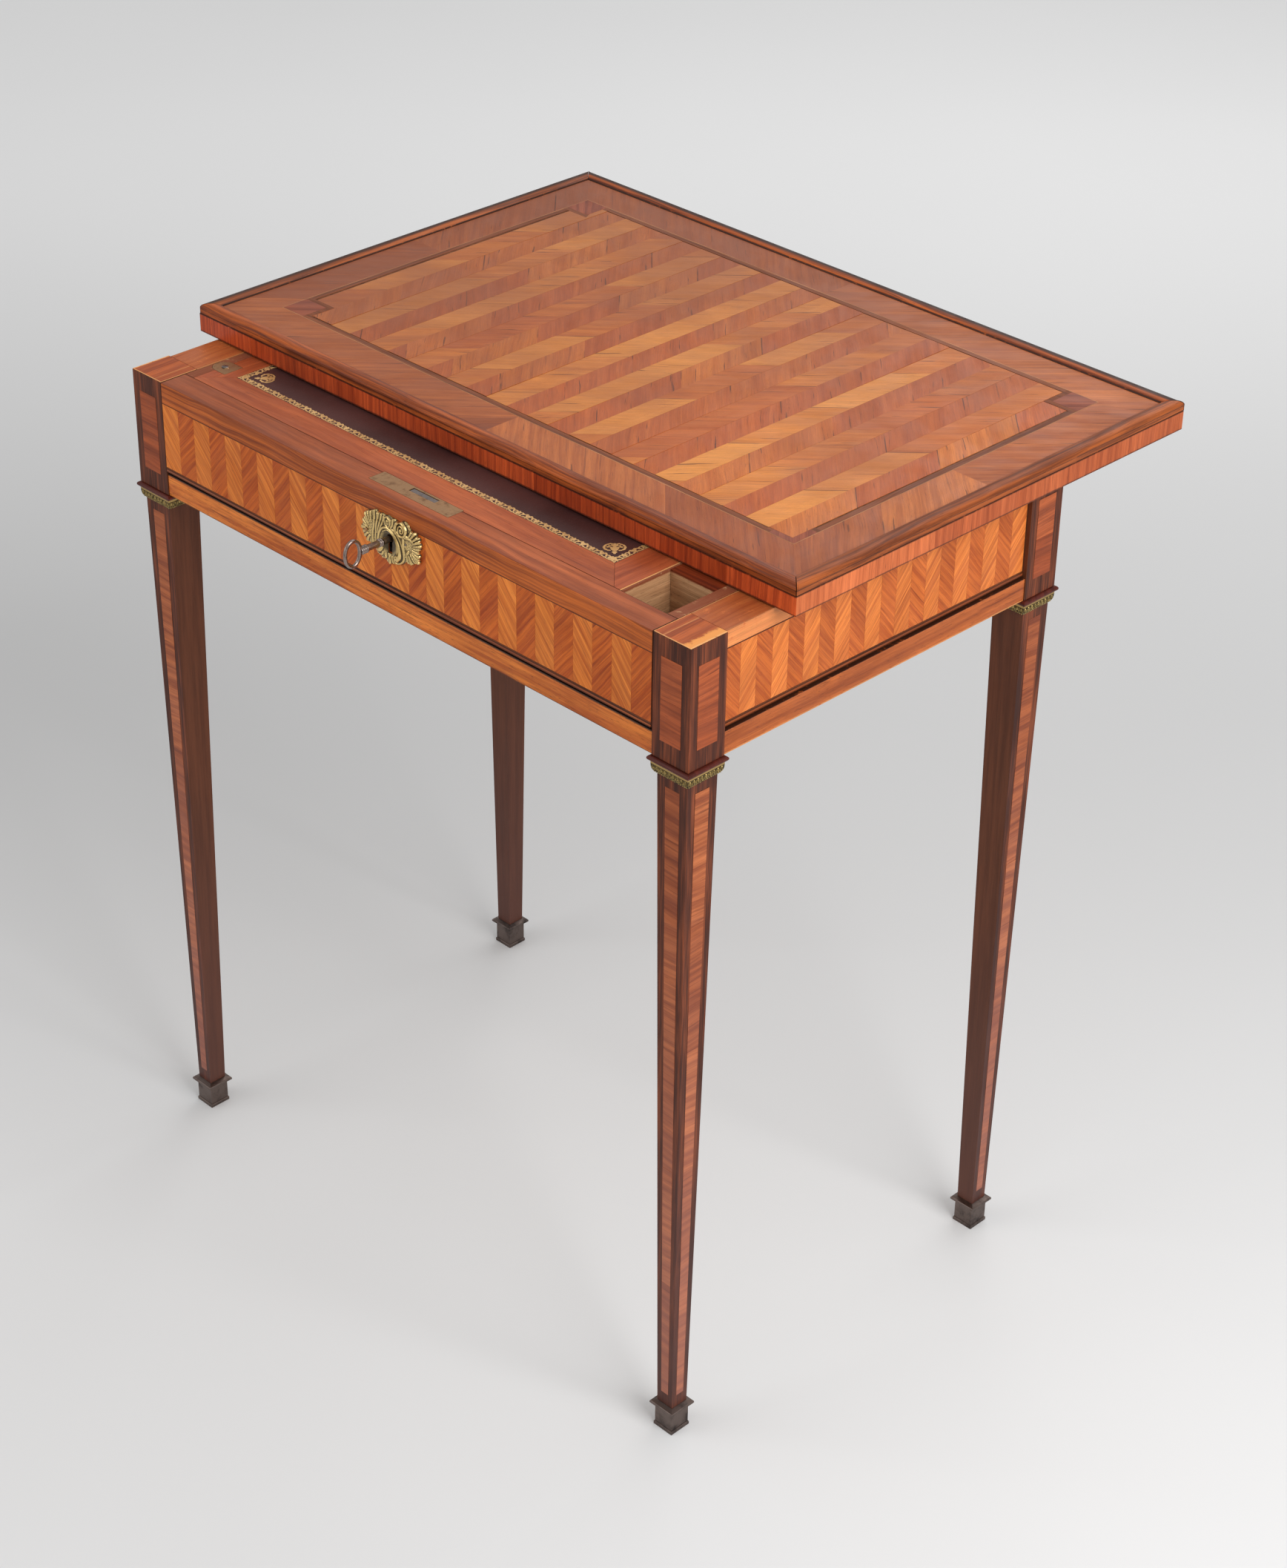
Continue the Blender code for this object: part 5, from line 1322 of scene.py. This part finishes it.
dome("escutcheon_pin_left", *PINS[0], 1.5, 2.6, "brass")
dome("escutcheon_pin_right", *PINS[1], 0.9, 1.7, "steel")

# %% The key's shaft, as (distance from its front end, radius) in millimetres
EAST, SKY = Vector((1, 0, 0)), Vector(UP)
COLLARS = (0.5, 2.4, 4.3, 16.5, 18.3)
COLLAR = ((0.2, 2.45), (0.45, 3.0), (0.8, 3.25), (1.15, 3.25), (1.5, 3.0), (1.75, 2.45))
key_line = KEY_LEVEL * MM
shaft_front, shaft_back = key_low.y + 15.6 * MM, key_high.y
shaft_length = (shaft_back - shaft_front) / MM
stations = [(0.0, 2.3), (0.2, 2.45)]
stations += [(collar + place, radius) for collar in COLLARS for place, radius in COLLAR]
stations += [(21.0, 2.5), (shaft_length - 0.4, 2.5), (shaft_length, 2.1)]
shape = bmesh.new()
skin(shape, [ring_round(Vector((0, shaft_front + place * MM, key_line)), EAST, SKY,
                        (radius * MM, radius * MM), 32) for place, radius in stations])
print("rings of the shaft:", len(stations))

# %% The key's bow and bit
BOW_Y, BOW_Z, BOW_STEPS = 6.9 * MM, 9.9 * MM, 72
bow_middle = Vector((0, key_low.y + 8.5 * MM, key_line))
bow_rings = []
for step in range(BOW_STEPS):
    angle = 2 * math.pi * step / BOW_STEPS
    out = Vector((0, math.cos(angle), math.sin(angle)))
    thick = 1.5 + 0.3 * max(0, math.cos(angle)) ** 3
    bow_rings.append(ring_round(bow_middle + out * Vector((0, BOW_Y, BOW_Z)), out, EAST,
                                (thick * MM, 1.5 * MM), 14))
skin(shape, bow_rings, closed=True)
bit_front = shaft_back - 4.2 * MM
skin(shape, [[(-MM, bit_front, z), (MM, bit_front, z), (MM, shaft_back, z), (-MM, shaft_back, z)]
             for z in ((KEY_LEVEL - 6.6) * MM, (KEY_LEVEL - 2.0) * MM)])
for face in shape.faces:
    face.smooth = len(face.verts) == 4 and face.calc_area() < 4 * MM ** 2
key_piece = settle("key_filed", as_mesh("key_filed", shape), nodes["key"]["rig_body"],
                   "key_steel")
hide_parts("key")
print("key:", len(key_piece.data.polygons), "faces")

# %% [markdown]
# ## Cast bands under the posts
# An egg-and-dart moulding is a rule: eggs in frames with darts between them, and a row of
# beads below. One side of a band is grown by a tree and laid on each face of each leg.

# %% The tree of the cast band
def circle(count, radius):
    """A closed curve of a few points."""
    return made("GeometryNodeCurvePrimitiveCircle", {"Resolution": count, "Radius": radius})


def egg_rule():
    """Eggs, frames, darts and beads along X. Y is up and Z points out."""
    given = new_rule(
        "egg_rule", Length=0.0352, Eggs=9, Beads=18, Egg_Size=(0.0012, 0.0019, 0.0010),
        Bead_Radius=0.00085, Bead_Level=-0.0034, Bead_Out=-0.0012, Metal="Material")
    length, count, egg_size = given["Length"], given["Eggs"], given["Egg_Size"]
    ball = made("GeometryNodeMeshUVSphere", {0: 10, 1: 6, 2: 1.0})
    bead = made("GeometryNodeMeshUVSphere", {0: 8, 1: 5, 2: given["Bead_Radius"]})
    egg = moved(ball, Scale=egg_size)
    dart = moved(ball, Scale=(0.00030, 0.0017, 0.00055))
    oval = moved(circle(12, 1.0), Scale=vector_calc("*", egg_size, (1.36, 1.3, 0.0)))
    rim = made("GeometryNodeCurveToMesh", {"Curve": oval, "Profile Curve": circle(5, 0.00026)})
    darts_long = calc("-", length, calc("/", length, count))
    darts = calc("-", count, 1)
    joined = add("GeometryNodeJoinGeometry")
    for row in (spread(length, count, egg, 0.0002),
                spread(length, count, rim, 0.0002, 0.0002),
                spread(darts_long, darts, dart, -0.0004, 0.0002),
                spread(calc("-", length, 0.0026), given["Beads"], bead,
                       given["Bead_Level"], given["Bead_Out"])):
        wire(row, joined, 0)
    soft = made("GeometryNodeSetShadeSmooth", {0: real(joined.outputs[0])})
    return end_rule(soft, given["Metal"])


# %% Lay the cast bands
BAND_LONG, BAND_DROP, BAND_SUNK = 34.6 * MM, 3.9 * MM, 0.5 * MM
eggs = egg_rule()
bands = 0
for x_name, y_name in LEGS:
    low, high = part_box(f"collar_{y_name}_{x_name}")
    middle = (low + high) / 2
    reach = (high.x - low.x) / 2 - BAND_SUNK
    for face in ("right", "left", "back", "front"):
        out_x, out_y = SIDES[face]
        band = grow(f"eggs_{y_name}_{x_name}_{face}", eggs, "case", "bronze",
                    Length=BAND_LONG, Metal=looks["pale_bronze"])
        centre = (middle.x + out_x * reach, middle.y + out_y * reach, high.z - BAND_DROP)
        lay(band, centre, sideways(face), UP)
        bands += 1
print("cast bands:", bands)

# %% [markdown]
# ## Gilt tooling on the leather
# The border is stamped with a heated roll, so it repeats a short pattern. The pattern is
# a handful of leaf-shaped dabs of gold, each given by its place, its angle, its length and
# its width. A tree sets a leaf on each dab, and repeats the pattern along the border.

# %% Leather and gold leaf
def leather():
    """Dark brown hide with a pebbled grain."""
    shader = new_finish("leather", shine=0.36)
    place = room_place()
    pebbles = made("ShaderNodeTexVoronoi", {"Vector": place, "Scale": 900.0})
    cloud = noise(place, 14, detail=4)
    fine = noise(place, 500, detail=3)
    body = blend(ramp(cloud, 0.3, 0.7), (56, 29, 27), (78, 42, 38))
    body = blend(ramp(fine, 0.55, 0.8, 0.0, 0.4), body, (92, 56, 50))
    wire(body, shader, "Base Color")
    wire(ramp(cloud, 0.3, 0.7, 0.42, 0.6), shader, "Roughness")
    bumps(shader, calc("+", pebbles, fine), 0.3, 0.0002)


def gold_leaf():
    """Gold leaf pressed into leather, rubbed through here and there."""
    shader = new_finish("gold_leaf", rough=0.42, metallic=0.25)
    place = room_place()
    rubbed = ramp(noise(place, 700, 4, 0.7), 0.54, 0.72, 0.0, 0.7)
    broad = ramp(noise(place, 60), 0.3, 0.7)
    gold = blend(broad, (196, 148, 90), (224, 180, 120))
    wire(blend(rubbed, gold, (96, 60, 46)), shader, "Base Color")


leather()
gold_leaf()


# %% The tree of the stamps
def stamp_rule():
    """Repeats leaves, one on each point of the host mesh, along X."""
    given = new_rule("stamp_rule", Geometry="Geometry", Length=0.4, Repeats=20, Gold="Material")
    disc = made("GeometryNodeMeshCircle", {"Vertices": 10, "Radius": 0.5}, fill_type="NGON")
    angle, size = (made("GeometryNodeInputNamedAttribute", {"Name": name}, data_type=kind)
                   for name, kind in (("angle", "FLOAT"), ("size", "FLOAT_VECTOR")))
    dabs = made("GeometryNodeInstanceOnPoints", {
        "Points": given["Geometry"], "Instance": disc, "Scale": size,
        "Rotation": vector(z=angle)})
    row = spread(given["Length"], given["Repeats"], real(dabs))
    return end_rule(row, given["Gold"])


LEVEL_STEP, LEAF_LONG, LEAF_WIDE = 0.004 * MM, 1.15 * MM, 1.7 * MM


def dab_points(dabs):
    """A mesh of loose points that carry each dab's angle and size. No two share a level."""
    mesh = bpy.data.meshes.new("dabs")
    mesh.from_pydata([(x * MM, y * MM, number * LEVEL_STEP)
                      for number, (x, y, *_) in enumerate(dabs)], [], [])
    angles = mesh.attributes.new("angle", "FLOAT", "POINT")
    sizes = mesh.attributes.new("size", "FLOAT_VECTOR", "POINT")
    for number, (_, _, angle, length, width) in enumerate(dabs):
        angles.data[number].value = math.radians(angle)
        sizes.data[number].vector = (length * LEAF_LONG, width * LEAF_WIDE, 1)
    return mesh


# %% Patterns of the stamps, in millimetres
BORDER = [
    (-6.6, -1.3, 90, 3.4, 0.9), (-8.0, 0.9, 128, 3.9, 1.1), (-5.2, 0.9, 52, 3.9, 1.1),
    (-6.6, 1.7, 90, 1.5, 1.1), (-8.9, -1.9, 20, 2.8, 0.9), (-4.3, -1.9, 160, 2.8, 0.9),
    (-8.6, 2.5, 170, 1.8, 0.8), (-4.6, 2.5, 10, 1.8, 0.8), (-2.2, 0.6, -52, 4.6, 0.9),
    (-0.9, 1.5, 18, 2.8, 0.8), (-1.2, -2.3, 8, 3.4, 0.8), (7.4, 0.4, 232, 4.6, 0.9),
    (6.2, 1.6, 162, 2.8, 0.8), (6.4, -2.3, -8, 3.4, 0.8), (2.6, -2.6, 0, 5.4, 0.6)]
petals = [(math.radians(a), a) for a in range(30, 390, 60)]
BORDER += [(2.6 + 1.5 * math.cos(turn), 0.2 + 1.5 * math.sin(turn), a, 2.0, 1.0)
           for turn, a in petals] + [(2.6, 0.2, 0, 1.1, 1.1)]
HALF_FLEURON = (
    (0, -7.2, 90, 2.6, 1.3), (-0.9, -5.6, 60, 2.4, 1.0), (0, -1.2, 90, 5.4, 3.2),
    (-1.9, -0.4, 112, 4.4, 1.4), (0, 3.2, 90, 3.6, 1.6), (-1.5, 3.6, 120, 3.2, 1.0),
    (0, 5.9, 90, 2.2, 1.4), (-2.0, 6.1, 150, 3.4, 0.9), (-4.6, 5.6, 205, 3.4, 0.9),
    (-6.6, 3.6, 245, 3.2, 1.1), (-7.3, 0.8, 280, 3.4, 1.2), (-6.3, -1.9, 320, 3.2, 1.2),
    (-4.1, -3.4, 350, 2.8, 1.0), (-4.6, 1.6, 200, 2.4, 1.2), (-3.6, 3.4, 140, 2.2, 0.8))
FLEURON = []
for x, y, angle, length, width in HALF_FLEURON:
    FLEURON.append((x, y, angle, length, width))
    if x:
        FLEURON.append((-x, y, 180 - angle, length, width))
print("dabs:", len(BORDER), len(FLEURON))

# %% Stamp the leather
BAND_IN, REPEAT, LEAF_LIFT = 3.2 * MM, 18.7 * MM, 0.06 * MM
CORNER_X, CORNER_Y = 15.6 * MM, 15.2 * MM
stamps = stamp_rule()
hide_low, hide_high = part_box("writing_leather")
hide_middle, hide_size = (hide_low + hide_high) / 2, hide_high - hide_low
hide_level = hide_high.z + LEAF_LIFT
flap_body = nodes["writing_leather"]["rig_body"]
for name, (out_x, out_y) in SIDES.items():
    span, depth = (hide_size.y, hide_size.x) if out_x else (hide_size.x, hide_size.y)
    row = grow("tooling_" + name, stamps, flap_body, "leather", dab_points(BORDER),
               Length=span - MM, Repeats=round(span / REPEAT), Gold=looks["gold_leaf"])
    centre = (hide_middle.x + out_x * (depth / 2 - BAND_IN),
              hide_middle.y + out_y * (depth / 2 - BAND_IN), hide_level)
    lay(row, centre, sideways(name), (-out_x, -out_y, 0))
for side_x, side_y in CORNERS:
    name = f"fleuron_{'right' if side_x > 0 else 'left'}_{'back' if side_y > 0 else 'front'}"
    mark = grow(name, stamps, flap_body, "leather", dab_points(FLEURON), Length=MM, Repeats=1,
                Gold=looks["gold_leaf"])
    upward = Vector((-side_x, -side_y, 0)).normalized()
    centre = (hide_middle.x + side_x * (hide_size.x / 2 - CORNER_X),
              hide_middle.y + side_y * (hide_size.y / 2 - CORNER_Y), hide_level)
    lay(mark, centre, (upward.y, -upward.x, 0), upward)

# %% [markdown]
# ## Finishes of the solid parts
# The solid parts that show keep their shape and take a finish by name.

# %% Dress the solid parts
FINISHES = (
    (("leg_",), "leg_wood"), (("capital_",), "capital_wood"), (("collar_",), "collar_bronze"),
    (("sabot_",), "dark_bronze"), (("front_rail", "back_lower_rail", "back_top_rail"), "rail_x"),
    (("side_lower_rail_",), "rail_y"), (("side_top_rail_",), "top_rail_y"),
    (("side_panel_", "back_panel", "top_board"), "carcass"),
    (("lip_front", "lip_back"), "lip_wood_x"), (("lip_left", "lip_right"), "lip_wood_y"),
    (("top_batten_", "drawer_runner_", "drawer_side_", "flap_ledge_", "compartment_divider"),
     "oak_y"),
    (("drawer_back", "drawer_floor", "compartment_partition", "flap_board"), "oak_x"),
    (("drawer_front",), "front_edge"), (("flap_rail_",), "flap_wood_x"),
    (("flap_stile_",), "flap_wood_y"), (("writing_leather",), "leather"),
    (("lock_plate", "strike_plate", "flap_hinge_"), "brass"),
    (("lock_case", "lock_bolt"), "steel"), (("key",), "key_steel"),
    (("escutcheon",), "gilt_bronze"))
undressed = set(nodes)
for starts, finish in FINISHES:
    for name in sorted(nodes):
        if name.startswith(starts):
            nodes[name].data.materials.clear()
            nodes[name].data.materials.append(looks[finish])
            undressed.discard(name)
print("solid parts without a finish:", sorted(undressed))

# %% [markdown]
# ## Floor and light
# The table stands on a seamless pale floor under large soft lights, so that the woods show
# their own colours and the shadows stay faint. The floor's colour carries painted light: it
# is lighter near the camera and far off, darker in a band just behind the table, and a
# little darker on the left of the picture.

# %% The floor
FLOOR_HALF = 9.0
INTO, ASIDE = (-0.704, 0.710, 0), (0.710, 0.704, 0)


def floor_finish():
    """A plain pale floor with painted light: a little lighter to the right, near the camera and
    into the distance.
    """
    shader = new_finish("floor_paper", shine=0.1, rough=0.9)
    place = room_place()
    depth, aside = (add("ShaderNodeVectorMath", {0: place, 1: direction},
                        operation="DOT_PRODUCT").outputs["Value"] for direction in (INTO, ASIDE))
    drift = noise(place, 1.5)
    near = calc("*", ramp(depth, -0.5, 0.8, 1.0, 0.0), 0.150)
    light = calc("+", near, calc("*", ramp(depth, 0.7, 2.6), 0.27))
    light = calc("+", light, ramp(aside, -0.7, 0.7, 0.0, 0.04))
    light = calc("+", light, calc("*+", drift, 0.03, 0.54))
    wire(shade(light, light, light), shader, "Base Color")


floor_finish()
floor_shape = bmesh.new()
bmesh.ops.create_grid(floor_shape, x_segments=1, y_segments=1, size=FLOOR_HALF)
floor_mesh = bpy.data.meshes.new("floor")
floor_shape.to_mesh(floor_mesh)
floor_shape.free()
floor_mesh.materials.append(looks["floor_paper"])
floor = bpy.data.objects.new("floor", floor_mesh)
bpy.context.scene.collection.objects.link(floor)
floor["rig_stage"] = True

# %% Lights
AIM = Vector((0, -0.03, 0.55))
SKY_SHARE = 0.66
LIGHTS = (("key_light", (2.5, -0.3, 2.1), 1.8, 62), ("fill_light", (-1.6, -2.6, 2.0), 2.2, 22),
          ("back_light", (-0.6, 2.2, 2.8), 2.4, 26))
for name, place, size, power in LIGHTS:
    data = bpy.data.lights.new(name, "AREA")
    data.size = size
    data.energy = power
    lamp = bpy.data.objects.new(name, data)
    lamp.location = place
    lamp.rotation_euler = (AIM - Vector(place)).to_track_quat("-Z", "Y").to_euler()
    bpy.context.scene.collection.objects.link(lamp)
world = bpy.data.worlds.new("studio")
world.use_nodes = True
world.node_tree.nodes["Background"].inputs[0].default_value = colour(240, 240, 240)
world.node_tree.nodes["Background"].inputs[1].default_value = SKY_SHARE
bpy.context.scene.world = world
bpy.context.scene.view_settings.view_transform = "Standard"
print("lights:", len(LIGHTS))

# %% [markdown]
# ## Size
# The box round the dressed table, without the floor, is measured.

# %% Measure the dressed table
low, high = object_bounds()
